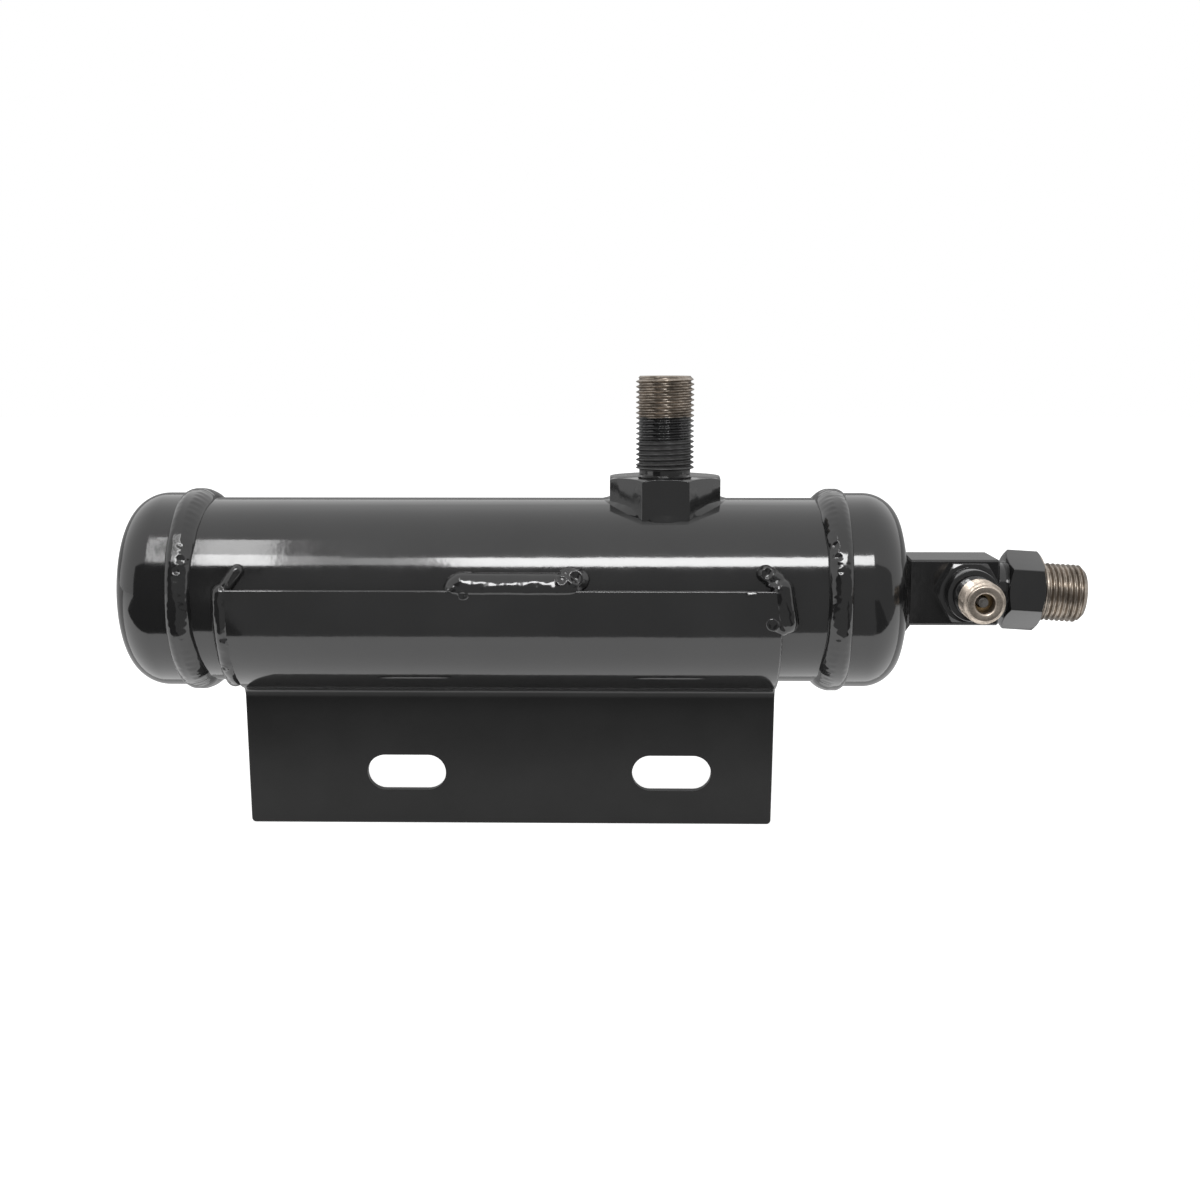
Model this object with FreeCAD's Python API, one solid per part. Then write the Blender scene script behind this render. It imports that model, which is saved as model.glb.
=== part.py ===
import FreeCAD, Part
import math
import os

# Receiver drier: a horizontal steel vessel with two drawn caps, a threaded inlet stud on an
# octagonal collar, an outlet block with a hex connector and a service port, and a folded bracket.
# Every piece is modelled about the middle of the vessel: +X to the outlet, +Z up, -Y to the front.
# It is then moved so that the origin is the middle of the two bracket slots, on the plate's back.

os.makedirs("parts", exist_ok=True)
Vector = FreeCAD.Vector

# Vessel
shell_od = 50.8
shell_wall = 1.65
vessel_length = 216.0
cap_wall = 1.3
cap_clearance = 0.05
cap_crown_radius = 72.0
cap_knuckle_radius = 10.0
cap_skirt = 10.0
shell_end_gap = 0.7
cap_weld_width = 9.4
cap_weld_rise = 1.15
cap_weld_lead = 0.7

# Folded bracket
sheet = 2.5
bracket_left_margin = 6.7
bracket_right_margin = 9.7
saddle_top_angle = 7.5
plate_ahead = 6.0
plate_height = 37.7
fold_radius = 3.0
plate_taper = 0.6
plate_corner = 1.2
sheet_edge_round = 0.5
slot_width = 10.0
slot_length = 22.0
slot_spacing = 74.0
slot_offset = 6.6
slot_above_foot = 14.6

# Stitch welds of the bracket
stitch_depth = 0.2
left_stitch_radius = 3.1
left_stitch_end_angle = 70.0
centre_stitch_radius = 3.7
centre_stitch_length = 36.0
centre_stitch_offset = 2.2
right_stitch_radius = 4.1
right_stitch_start_angle = -12.0
right_stitch_end_angle = 27.0

# Inlet fitting
inlet_offset = 41.4
collar_flats = 30.0
collar_rise = 6.1
collar_edge = 0.6
stud_thread_diameter = 15.875
stud_rise = 27.2
stud_neck_radius = 7.0
stud_neck_length = 2.2
stud_chamfer = 1.1
stud_bore_radius = 4.6
spigot_radius = 7.4
spigot_reach = 1.4
spigot_clearance = 0.05
inlet_weld_margin = 1.1
inlet_weld_height = 1.4
inlet_weld_round = 1.0

# Outlet block
block_size = 18.0
block_reach = 24.0
block_lift = 0.5
block_edge = 0.5
block_bore_radius = 4.0
block_weld_leg = 0.6

# Outlet connector, which droops a little
connector_droop = 3.5
connector_thread_diameter = 15.875
connector_flats = 19.05
connector_hex_turn = -7.0
connector_shoulder_radius = 7.4
connector_shoulder_length = 2.5
connector_hex_length = 9.9
connector_hex_edge = 0.9
connector_neck_radius = 6.9
connector_neck_length = 1.2
connector_thread_length = 10.9
connector_chamfer = 1.5
connector_bore_radius = 4.0
connector_spigot_radius = 5.0
connector_spigot_length = 2.9
connector_spigot_clearance = 0.05
washer_thickness = 1.0
washer_radius = 7.6
washer_recess = 0.9

# Service port
port_inset = 8.55
port_rise = 0.3
port_reach = 22.0
port_thread_diameter = 11.1125
port_flats = 15.875
port_hex_length = 3.0
port_hex_edge = 0.6
port_hex_back_edge = 0.3
port_shoulder_radius = 7.0
port_shoulder_length = 5.0
port_shoulder_edge = 0.4
port_neck_radius = 4.9
port_neck_length = 1.2
port_chamfer = 1.3
port_bore_radius = 2.5
port_passage_radius = 1.7
port_mouth_chamfer = 0.35
port_shank_radius = 4.5
port_shank_length = 4.6
port_shank_clearance = 0.05
port_seal_section = 0.55
port_seal_clearance = 0.04

# Valve core, with depths measured in from the port's tip
core_clearance = 0.02
core_room = 3.5
core_start = 5.0
core_length = 7.0
core_pocket_radius = 1.65
core_pocket_depth = 5.5
core_groove_radius = 1.9
core_groove_width = 0.7
core_groove_back = 0.3
core_seal_clearance = 0.02
pin_stem_radius = 0.55
pin_clearance = 0.05
pin_head_radius = 0.8
pin_head_depth = 1.0
pin_head_length = 1.6
pin_collar_radius = 1.3
pin_collar_length = 0.4
pin_seat_gap = 0.02
pin_seal_thickness = 0.6
pin_seal_radius = 1.5
pin_poppet_thickness = 0.6
valve_spring_wire_radius = 0.14
valve_spring_radius = 1.1
valve_spring_pitch = 1.0
valve_spring_end_gap = 0.03

# Inside the vessel
pickup_radius = 4.7625
pickup_wall = 0.9
pickup_clearance = 0.05
pickup_entry = 9.0
pickup_end_gap = 18.0
pickup_bend_radius = 12.0
pickup_foot_gap = 2.2
strainer_radius = 6.4
strainer_wall = 0.6
strainer_height = 7.5
strainer_floor_gap = 2.0
strainer_hole_radius = 0.7
strainer_hole_count = 10
strainer_hole_rows = 3
bed_left = 53.8
bed_length = 65.8
bed_clearance = 0.1
pad_thickness = 5.0
plate_thickness = 1.2
plate_hole_radius = 1.5
plate_inner_ring = 10.5
plate_inner_count = 8
plate_outer_ring = 17.5
plate_outer_count = 14
stop_ring_height = 2.3
stop_ring_thickness = 2.0
bed_spring_wire_radius = 1.1
bed_spring_radius = 17.0
bed_spring_turns = 8
bed_spring_end_gap = 0.1
WIRE_SIDES = 8

# Sizes that follow from those above
shell_radius = shell_od / 2
shell_bore_radius = shell_radius - shell_wall
cap_inner_radius = shell_radius + cap_clearance
cap_radius = cap_inner_radius + cap_wall
half_length = vessel_length / 2
crown_centre = half_length - cap_crown_radius
knuckle_ring = cap_radius - cap_knuckle_radius
knuckle_place = crown_centre + math.sqrt((cap_crown_radius - cap_knuckle_radius) ** 2 - knuckle_ring ** 2)
cap_rim = knuckle_place - cap_skirt
shell_end = knuckle_place - shell_end_gap
weld_ridge = cap_rim + cap_weld_lead
saddle_radius = shell_radius + sheet
weld_toe = weld_ridge - cap_weld_width / 2
fold_angle = math.degrees(math.acos((plate_ahead + fold_radius) / (saddle_radius + fold_radius)))
bracket_left = bracket_left_margin - weld_toe
bracket_right = weld_toe - bracket_right_margin
plate_back = plate_ahead - sheet
plate_foot = saddle_radius + plate_height
slot_drop = plate_foot - slot_above_foot
stitch_ring = shell_radius - stitch_depth
collar_top = shell_radius + collar_rise
stud_top = collar_top + stud_rise
spigot_bottom = shell_bore_radius - spigot_reach
block_half = block_size / 2
block_end = half_length + block_reach
port_place = block_end - port_inset
port_tip = block_half + port_reach
port_height = block_lift + port_rise
core_end = core_start + core_length
port_bore_depth = core_end + core_room
core_radius = port_bore_radius - core_clearance
core_floor = core_start + core_pocket_depth
collar_back = pin_head_depth + pin_head_length + pin_collar_length
pin_seat = core_end + pin_seat_gap
pickup_entry_place = half_length + pickup_entry
pickup_bend_place = half_length - pickup_end_gap
strainer_floor = shell_bore_radius - strainer_floor_gap
pickup_foot = strainer_floor - strainer_wall - pickup_foot_gap
bed_right = bed_length - bed_left
pad_radius = shell_bore_radius - bed_clearance
bed_hole_radius = pickup_radius + bed_clearance
ROW_SHIFT = Vector(-slot_offset, plate_back, slot_drop)


def cylinder(radius, length, base, direction):
    return Part.makeCylinder(radius, length, base, direction)


def ring(outer, inner, length, base, direction):
    return cylinder(outer, length, base, direction).cut(cylinder(inner, length, base, direction))


def polygon_prism(flats, sides, turn, length, base, direction):
    # A prism with flat faces, of that width across them, turned about its own axis
    corner = flats / 2 / math.cos(math.pi / sides)
    points = []
    for index in range(sides + 1):
        angle = math.radians(turn + 360.0 * index / sides)
        points.append(Vector(corner * math.cos(angle), corner * math.sin(angle), 0))
    prism = Part.Face(Part.makePolygon(points)).extrude(Vector(0, 0, length))
    prism.Placement = FreeCAD.Placement(base, FreeCAD.Rotation(Vector(0, 0, 1), direction))
    return prism


def revolved(points, base, direction):
    # Points are (distance along the direction, radius), turned about the direction's line
    wire = Part.makePolygon([Vector(radius, 0, along) for along, radius in points + points[:1]])
    solid = Part.Face(wire).revolve(Vector(0, 0, 0), Vector(0, 0, 1), 360)
    solid.Placement = FreeCAD.Placement(base, FreeCAD.Rotation(Vector(0, 0, 1), direction))
    return solid


def nut_mask(flats, sides, length, near_chamfer, far_chamfer, base, direction):
    # A turned blank that takes the corners off a prism's two ends at 30 degrees, as on any nut
    corner = flats / 2 / math.cos(math.pi / sides)
    slope = math.tan(math.radians(30))
    near_face = corner - near_chamfer / slope
    far_face = corner - far_chamfer / slope
    points = [(0, 0), (0, near_face), (near_chamfer, corner)]
    points += [(length - far_chamfer, corner), (length, far_face), (length, 0)]
    return revolved(points, base, direction)


def save(name, shape):
    placed = shape.copy()
    placed.translate(ROW_SHIFT)
    if len(placed.Solids) == 1:
        placed = placed.Solids[0]
    placed.exportStep("parts/" + name + ".step")
    print(name, "solids", len(placed.Solids), "volume", round(placed.Volume, 2), "valid", placed.isValid())


def dome_solid(offset):
    # The filled inside of the right cap's outer surface, grown by the offset
    crown = cap_crown_radius + offset
    knuckle = cap_knuckle_radius + offset
    lean = math.atan2(knuckle_ring, knuckle_place - crown_centre)
    half_crown = lean / 2
    half_knuckle = (lean + math.pi / 2) / 2
    tip = Vector(crown_centre + crown, 0, 0)
    crown_mid = Vector(crown_centre + crown * math.cos(half_crown), 0, crown * math.sin(half_crown))
    join = Vector(crown_centre + crown * math.cos(lean), 0, crown * math.sin(lean))
    knuckle_mid = Vector(knuckle_place + knuckle * math.cos(half_knuckle), 0,
                         knuckle_ring + knuckle * math.sin(half_knuckle))
    shoulder = Vector(knuckle_place, 0, knuckle_ring + knuckle)
    rim = Vector(cap_rim, 0, knuckle_ring + knuckle)
    middle = Vector(cap_rim, 0, 0)
    edges = [
        Part.Arc(tip, crown_mid, join).toShape(),
        Part.Arc(join, knuckle_mid, shoulder).toShape(),
        Part.LineSegment(shoulder, rim).toShape(),
        Part.LineSegment(rim, middle).toShape(),
        Part.LineSegment(middle, tip).toShape(),
    ]
    return Part.Face(Part.Wire(edges)).revolve(Vector(0, 0, 0), Vector(1, 0, 0), 360)


def mirrored(shape):
    return shape.mirror(Vector(0, 0, 0), Vector(1, 0, 0))


def end_cap():
    return dome_solid(0).cut(dome_solid(-cap_wall))


def right_end_cap():
    hole = cylinder(pickup_radius + pickup_clearance, vessel_length, Vector(0, 0, 0), Vector(1, 0, 0))
    return end_cap().cut(hole)


def shell_tube():
    tube = ring(shell_radius, shell_bore_radius, 2 * shell_end, Vector(-shell_end, 0, 0), Vector(1, 0, 0))
    hole = cylinder(spigot_radius + spigot_clearance, shell_od, Vector(inlet_offset, 0, 0), Vector(0, 0, 1))
    return tube.cut(hole)


def cap_weld():
    # A crowned ring that laps from the shell up over the rim of the cap
    far = weld_ridge + cap_weld_width / 2
    crest = cap_radius + cap_weld_rise
    start = Vector(weld_toe, 0, shell_radius)
    end = Vector(far, 0, cap_radius)
    edges = [
        Part.Arc(start, Vector(weld_ridge, 0, crest), end).toShape(),
        Part.LineSegment(end, Vector(cap_rim, 0, cap_radius)).toShape(),
        Part.LineSegment(Vector(cap_rim, 0, cap_radius), Vector(cap_rim, 0, shell_radius)).toShape(),
        Part.LineSegment(Vector(cap_rim, 0, shell_radius), start).toShape(),
    ]
    return Part.Face(Part.Wire(edges)).revolve(Vector(0, 0, 0), Vector(1, 0, 0), 360)


def round_point(radius, angle):
    # A point round the vessel: angle 0 is the front and 90 is straight below
    turn = math.radians(angle)
    return Vector(0, -radius * math.cos(turn), -radius * math.sin(turn))


def bracket_section():
    # The sheet's edge seen from the end: round the vessel's front, back under it, then down
    middle = (fold_angle - saddle_top_angle) / 2
    fold = round_point(saddle_radius + fold_radius, fold_angle)
    outer_fold = fold_radius + sheet
    half_turn = math.radians(fold_angle / 2)
    front_top = Vector(0, -plate_ahead, fold.z)
    front_low = Vector(0, -plate_ahead, -plate_foot)
    back_low = Vector(0, -plate_back, -plate_foot)
    back_top = Vector(0, -plate_back, fold.z)
    halfway = Vector(0, math.cos(half_turn), math.sin(half_turn))
    front_mid = fold + halfway * fold_radius
    back_mid = fold + halfway * outer_fold
    outside = Part.Arc(round_point(saddle_radius, -saddle_top_angle), round_point(saddle_radius, middle),
                       round_point(saddle_radius, fold_angle))
    inside = Part.Arc(round_point(shell_radius, fold_angle), round_point(shell_radius, middle),
                      round_point(shell_radius, -saddle_top_angle))
    edges = [
        outside.toShape(),
        Part.Arc(round_point(saddle_radius, fold_angle), front_mid, front_top).toShape(),
        Part.LineSegment(front_top, front_low).toShape(),
        Part.LineSegment(front_low, back_low).toShape(),
        Part.LineSegment(back_low, back_top).toShape(),
        Part.Arc(back_top, back_mid, round_point(shell_radius, fold_angle)).toShape(),
        inside.toShape(),
        Part.LineSegment(round_point(shell_radius, -saddle_top_angle),
                         round_point(saddle_radius, -saddle_top_angle)).toShape(),
    ]
    return Part.Face(Part.Wire(edges))


def bracket_outline():
    # The cut blank seen from the front: straight at the saddle, drawn in a little to the plate's foot
    top = shell_radius
    fold = -saddle_radius
    foot = -plate_foot
    left_foot = bracket_left + plate_taper
    right_foot = bracket_right - plate_taper
    points = [(bracket_left, top), (bracket_left, fold), (left_foot, foot), (right_foot, foot),
              (bracket_right, fold), (bracket_right, top), (bracket_left, top)]
    wire = Part.makePolygon([Vector(x, -shell_od, z) for x, z in points])
    blank = Part.Face(wire).extrude(Vector(0, 2 * shell_od, 0))
    corners = [edge for edge in blank.Edges
               if abs(edge.Vertexes[0].Z - foot) < 1e-6 and abs(edge.Vertexes[-1].Z - foot) < 1e-6
               and abs(edge.Vertexes[0].X - edge.Vertexes[-1].X) < 1e-6]
    return blank.makeFillet(plate_corner, corners)


def slot_cutter(place):
    end = slot_width / 2
    reach = slot_length / 2 - end
    start = Vector(place - reach, -shell_od, -slot_drop)
    middle = Part.makeBox(2 * reach, 2 * shell_od, slot_width,
                          Vector(place - reach, -shell_od, -slot_drop - end))
    first = cylinder(end, 2 * shell_od, start, Vector(0, 1, 0))
    last = cylinder(end, 2 * shell_od, start + Vector(2 * reach, 0, 0), Vector(0, 1, 0))
    return middle.fuse([first, last]).removeSplitter()


def on_front_side(face):
    surface = face.Surface
    if isinstance(surface, Part.Cylinder):
        return min(abs(surface.Radius - saddle_radius), abs(surface.Radius - fold_radius)) < 1e-6
    return abs(face.BoundBox.YMin + plate_ahead) + abs(face.BoundBox.YMax + plate_ahead) < 1e-5


def front_rim(bracket):
    # The edges all round the sheet's front side, from the saddle's top to the plate's foot
    edges = [edge for face in bracket.Faces if on_front_side(face) for edge in face.Edges]
    return [edge for edge in edges if sum(edge.isSame(other) for other in edges) == 1]


def mounting_bracket():
    section = bracket_section()
    section.translate(Vector(bracket_left, 0, 0))
    bracket = section.extrude(Vector(bracket_right - bracket_left, 0, 0)).common(bracket_outline())
    bracket = bracket.makeFillet(sheet_edge_round, front_rim(bracket))
    for side in (-1, 1):
        bracket = bracket.cut(slot_cutter(slot_offset + side * slot_spacing / 2))
    return bracket


def shell_core(grow):
    radius = shell_radius + grow
    return cylinder(radius, vessel_length, Vector(-half_length, 0, 0), Vector(1, 0, 0))


def trimmed(bead, bracket):
    return bead.cut(shell_core(0)).cut(bracket)


def end_stitch(place, radius, start_angle, end_angle):
    # A round bead laid up one end of the saddle, with rounded ends
    start = round_point(stitch_ring, start_angle) + Vector(place, 0, 0)
    end = round_point(stitch_ring, end_angle) + Vector(place, 0, 0)
    circle = Part.Wire(Part.makeCircle(radius, start, Vector(1, 0, 0).cross(start - Vector(place, 0, 0))))
    bead = Part.Face(circle).revolve(Vector(place, 0, 0), Vector(1, 0, 0), end_angle - start_angle)
    return bead.fuse([Part.makeSphere(radius, start), Part.makeSphere(radius, end)])


def bracket_weld_left(bracket):
    bead = end_stitch(bracket_left, left_stitch_radius, -saddle_top_angle, left_stitch_end_angle)
    return trimmed(bead, bracket)


def bracket_weld_right(bracket):
    bead = end_stitch(bracket_right, right_stitch_radius, right_stitch_start_angle, right_stitch_end_angle)
    return trimmed(bead, bracket)


def bracket_weld_centre(bracket):
    # A bead along the saddle's top edge
    left = centre_stitch_offset - centre_stitch_length / 2
    right = centre_stitch_offset + centre_stitch_length / 2
    edge = round_point(stitch_ring, -saddle_top_angle)
    bead = cylinder(centre_stitch_radius, centre_stitch_length, edge + Vector(left, 0, 0), Vector(1, 0, 0))
    ends = [Part.makeSphere(centre_stitch_radius, edge + Vector(place, 0, 0)) for place in (left, right)]
    return trimmed(bead.fuse(ends), bracket)


def collar_prism(top):
    # The octagon stands with one flat to the front
    return polygon_prism(collar_flats, 8, 22.5, top, Vector(inlet_offset, 0, 0), Vector(0, 0, 1))


def inlet_fitting():
    base = Vector(inlet_offset, 0, 0)
    up = Vector(0, 0, 1)
    mask = nut_mask(collar_flats, 8, collar_top, collar_edge, collar_edge, base, up)
    collar = collar_prism(collar_top).common(mask).cut(shell_core(0))
    neck_end = collar_top + stud_neck_length
    thread = stud_thread_diameter / 2
    profile = [(shell_radius, 0), (shell_radius, stud_neck_radius)]
    profile += [(neck_end, stud_neck_radius), (neck_end + (thread - stud_neck_radius), thread)]
    profile += [(stud_top - stud_chamfer, thread), (stud_top, thread - stud_chamfer), (stud_top, 0)]
    stud = revolved(profile, base, up)
    spigot = cylinder(spigot_radius, shell_radius - spigot_bottom, base + Vector(0, 0, spigot_bottom), up)
    whole = collar.fuse([stud, spigot]).removeSplitter()
    return whole.cut(cylinder(stud_bore_radius, stud_top, base, up))


def inlet_weld():
    # A round pad on the shell, just wider than the collar's corners, with its rim rounded down.
    # The seams of the two cores are turned to the underside, so that the rim is one whole edge.
    cores = [shell_core(grow) for grow in (inlet_weld_height, 0)]
    for core in cores:
        core.rotate(Vector(0, 0, 0), Vector(1, 0, 0), 180)
    radius = collar_flats / 2 / math.cos(math.pi / 8) + inlet_weld_margin
    pad = cylinder(radius, collar_top, Vector(inlet_offset, 0, 0), Vector(0, 0, 1))
    pad = pad.common(cores[0]).cut(cores[1])
    top = shell_radius + inlet_weld_height
    crest = [edge for edge in pad.Edges
             if all(abs(math.hypot(v.Y, v.Z) - top) < 1e-4 for v in edge.Vertexes)]
    return pad.makeFillet(inlet_weld_round, crest).cut(collar_prism(collar_top))


def block_box():
    # The bar that the block is cut from, started inside the dome
    corner = Vector(knuckle_place, -block_half, block_lift - block_half)
    return Part.makeBox(block_end - knuckle_place, block_size, block_size, corner)


def block_blank():
    blank = block_box()
    edges = [edge for edge in blank.Edges if edge.BoundBox.XMax > block_end - 1e-6]
    return blank.makeChamfer(block_edge, edges).cut(dome_solid(0))


def drooped(shape):
    # Turned about the middle of the block's end face, so that it points a little down
    placed = shape.copy()
    placed.rotate(Vector(block_end, 0, block_lift), Vector(0, 1, 0), connector_droop)
    return placed


def connector_base(along):
    return Vector(block_end + along, 0, block_lift)


def outlet_block():
    along = Vector(1, 0, 0)
    front = Vector(0, -1, 0)
    block = block_blank()
    block = block.cut(cylinder(pickup_radius + pickup_clearance, pickup_entry_place, Vector(0, 0, 0), along))
    block = block.cut(cylinder(block_bore_radius, block_end, Vector(0, 0, 0), along))
    seat_radius = connector_spigot_radius + connector_spigot_clearance
    seat = cylinder(seat_radius, connector_spigot_length + washer_recess,
                    connector_base(-connector_spigot_length - washer_recess), along)
    spot = cylinder(washer_radius + connector_spigot_clearance, washer_thickness + washer_recess,
                    connector_base(-washer_recess), along)
    block = block.cut(drooped(seat)).cut(drooped(spot))
    inner = Vector(port_place, -(block_half - port_shank_length), port_height)
    shank = cylinder(port_shank_radius + port_shank_clearance, port_shank_length, inner, front)
    groove_radius = port_seal_ring() + port_seal_section + port_seal_clearance
    groove = cylinder(groove_radius, port_seal_depth(), Vector(port_place, -block_half, port_height),
                      Vector(0, 1, 0))
    passage = cylinder(port_passage_radius, block_half, Vector(port_place, 0, port_height), front)
    return block.cut(shank).cut(groove).cut(passage)


def square_wire(place, half):
    corners = [(-half, -half), (half, -half), (half, half), (-half, half), (-half, -half)]
    return Part.makePolygon([Vector(place, y, block_lift + z) for y, z in corners])


def block_weld():
    # A sloping fillet round the block's foot on the dome
    top = crown_centre + math.sqrt(cap_crown_radius ** 2 - block_half ** 2) + block_weld_leg
    reach = 3 * block_weld_leg
    bead = Part.makeLoft([square_wire(top - reach, block_half + reach), square_wire(top, block_half)], True)
    return bead.cut(dome_solid(0)).cut(block_box())


def outlet_connector():
    along = Vector(1, 0, 0)
    shoulder_start = washer_thickness - washer_recess
    hex_start = shoulder_start + connector_shoulder_length
    hex_end = hex_start + connector_hex_length
    thread = connector_thread_diameter / 2
    thread_start = hex_end + connector_neck_length
    end = thread_start + connector_thread_length
    hexagon = polygon_prism(connector_flats, 6, connector_hex_turn, connector_hex_length,
                            connector_base(hex_start), along)
    mask = nut_mask(connector_flats, 6, connector_hex_length, connector_hex_edge, connector_hex_edge,
                    connector_base(hex_start), along)
    tip = thread - connector_chamfer
    profile = [(-connector_spigot_length - washer_recess, 0)]
    profile += [(-connector_spigot_length - washer_recess, connector_spigot_radius)]
    profile += [(shoulder_start, connector_spigot_radius), (shoulder_start, connector_shoulder_radius)]
    profile += [(hex_start + connector_hex_edge, connector_shoulder_radius)]
    profile += [(hex_start + connector_hex_edge, connector_neck_radius)]
    profile += [(thread_start - (thread - connector_neck_radius), connector_neck_radius)]
    profile += [(thread_start, thread), (end - connector_chamfer, thread), (end, tip), (end, 0)]
    body = revolved(profile, connector_base(0), along)
    bore = cylinder(connector_bore_radius, 2 * end, connector_base(-end), along)
    return drooped(hexagon.common(mask).fuse(body).removeSplitter().cut(bore))


def connector_washer():
    washer = ring(washer_radius, connector_spigot_radius + connector_spigot_clearance, washer_thickness,
                  connector_base(-washer_recess), Vector(1, 0, 0))
    return drooped(washer)


def port_seal_ring():
    return port_shank_radius + port_seal_clearance + port_seal_section


def port_seal_depth():
    return 2 * port_seal_section


def port_point(depth):
    # A point on the port's axis, measured in from its tip
    return Vector(port_place, depth - port_tip, port_height)


def service_port_body():
    inward = Vector(0, 1, 0)
    thread = port_thread_diameter / 2
    shoulder = port_shoulder_radius
    hex_start = port_reach - port_hex_length
    shoulder_start = hex_start - port_shoulder_length
    thread_end = shoulder_start - port_neck_length
    hexagon = polygon_prism(port_flats, 6, 0, port_hex_length, port_point(hex_start), inward)
    mask = nut_mask(port_flats, 6, port_hex_length, port_hex_edge, port_hex_back_edge,
                    port_point(hex_start), inward)
    profile = [(0, 0), (0, thread - port_chamfer), (port_chamfer, thread), (thread_end, thread)]
    profile += [(thread_end + (thread - port_neck_radius), port_neck_radius)]
    profile += [(shoulder_start, port_neck_radius), (shoulder_start, shoulder - port_shoulder_edge)]
    profile += [(shoulder_start + port_shoulder_edge, shoulder), (hex_start + port_hex_edge, shoulder)]
    profile += [(hex_start + port_hex_edge, port_shank_radius)]
    profile += [(port_reach + port_shank_length, port_shank_radius), (port_reach + port_shank_length, 0)]
    body = revolved(profile, port_point(0), inward)
    mouth = port_bore_radius + port_mouth_chamfer
    bore = [(0, 0), (0, mouth), (port_mouth_chamfer, port_bore_radius), (port_bore_depth, port_bore_radius)]
    bore += [(port_bore_depth, port_passage_radius), (port_reach + port_shank_length, port_passage_radius)]
    bore += [(port_reach + port_shank_length, 0)]
    return hexagon.common(mask).fuse(body).removeSplitter().cut(revolved(bore, port_point(0), inward))


def port_seal():
    middle = port_point(port_reach + port_seal_section)
    return Part.makeTorus(port_seal_ring(), port_seal_section, middle, Vector(0, 1, 0))


def valve_core_body():
    # The fixed barrel of the valve, with a pocket for the spring and a groove for its seal
    groove_end = core_end - core_groove_back
    groove_start = groove_end - core_groove_width
    profile = [(core_start, core_pocket_radius), (core_start, core_radius), (groove_start, core_radius)]
    profile += [(groove_start, core_groove_radius), (groove_end, core_groove_radius)]
    profile += [(groove_end, core_radius), (core_end, core_radius)]
    profile += [(core_end, pin_stem_radius + pin_clearance), (core_floor, pin_stem_radius + pin_clearance)]
    profile += [(core_floor, core_pocket_radius)]
    return revolved(profile, port_point(0), Vector(0, 1, 0))


def valve_core_seal():
    section = (port_bore_radius - core_groove_radius - 2 * core_seal_clearance) / 2
    middle = port_point(core_end - core_groove_back - core_groove_width / 2)
    return Part.makeTorus((port_bore_radius + core_groove_radius) / 2, section, middle, Vector(0, 1, 0))


def valve_pin():
    # The stem with its head, the collar that the spring pushes and the poppet at its inner end
    stem = pin_stem_radius
    head_end = pin_head_depth + pin_head_length
    poppet = pin_seat + pin_seal_thickness
    profile = [(pin_head_depth, 0), (pin_head_depth, pin_head_radius), (head_end, pin_head_radius)]
    profile += [(head_end, pin_collar_radius), (collar_back, pin_collar_radius), (collar_back, stem)]
    profile += [(poppet, stem), (poppet, pin_seal_radius), (poppet + pin_poppet_thickness, pin_seal_radius)]
    profile += [(poppet + pin_poppet_thickness, 0)]
    return revolved(profile, port_point(0), Vector(0, 1, 0))


def valve_pin_seal():
    return ring(pin_seal_radius, pin_stem_radius, pin_seal_thickness, port_point(pin_seat), Vector(0, 1, 0))


def coil(radius, wire_radius, pitch, height, base, direction):
    # A wire wound about a straight line, with an eight-sided section drawn square to its start
    helix = Part.makeHelix(pitch, height, radius)
    start = Vector(radius, 0, 0)
    outward = Vector(1, 0, 0)
    across = Vector(0, 2 * math.pi * radius, pitch).normalize().cross(outward)
    corners = []
    for index in range(WIRE_SIDES + 1):
        angle = 2 * math.pi * index / WIRE_SIDES
        reach = outward * math.cos(angle) + across * math.sin(angle)
        corners.append(start + reach * wire_radius)
    spring = Part.Wire(helix).makePipeShell([Part.makePolygon(corners)], True, True)
    spring.Placement = FreeCAD.Placement(base, FreeCAD.Rotation(Vector(0, 0, 1), direction))
    return spring


def valve_spring():
    wire = valve_spring_wire_radius
    start = collar_back + wire + valve_spring_end_gap
    height = core_floor - wire - valve_spring_end_gap - start
    return coil(valve_spring_radius, wire, valve_spring_pitch, height, port_point(start), Vector(0, 1, 0))


def pickup_path():
    # From the block along the vessel's axis, then down to the bottom of the left end
    bend = pickup_bend_radius
    diagonal = bend * math.sqrt(0.5)
    start = Vector(pickup_entry_place, 0, 0)
    turn_start = Vector(-pickup_bend_place + bend, 0, 0)
    turn_mid = Vector(-pickup_bend_place + bend - diagonal, 0, -bend + diagonal)
    turn_end = Vector(-pickup_bend_place, 0, -bend)
    end = Vector(-pickup_bend_place, 0, -pickup_foot)
    return Part.Wire([
        Part.LineSegment(start, turn_start).toShape(),
        Part.Arc(turn_start, turn_mid, turn_end).toShape(),
        Part.LineSegment(turn_end, end).toShape(),
    ])


def pickup_tube():
    path = pickup_path()
    start = Vector(pickup_entry_place, 0, 0)
    outer = Part.Wire(Part.makeCircle(pickup_radius, start, Vector(1, 0, 0)))
    inner = Part.Wire(Part.makeCircle(pickup_radius - pickup_wall, start, Vector(1, 0, 0)))
    return path.makePipeShell([outer], True, True).cut(path.makePipeShell([inner], True, True))


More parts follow.
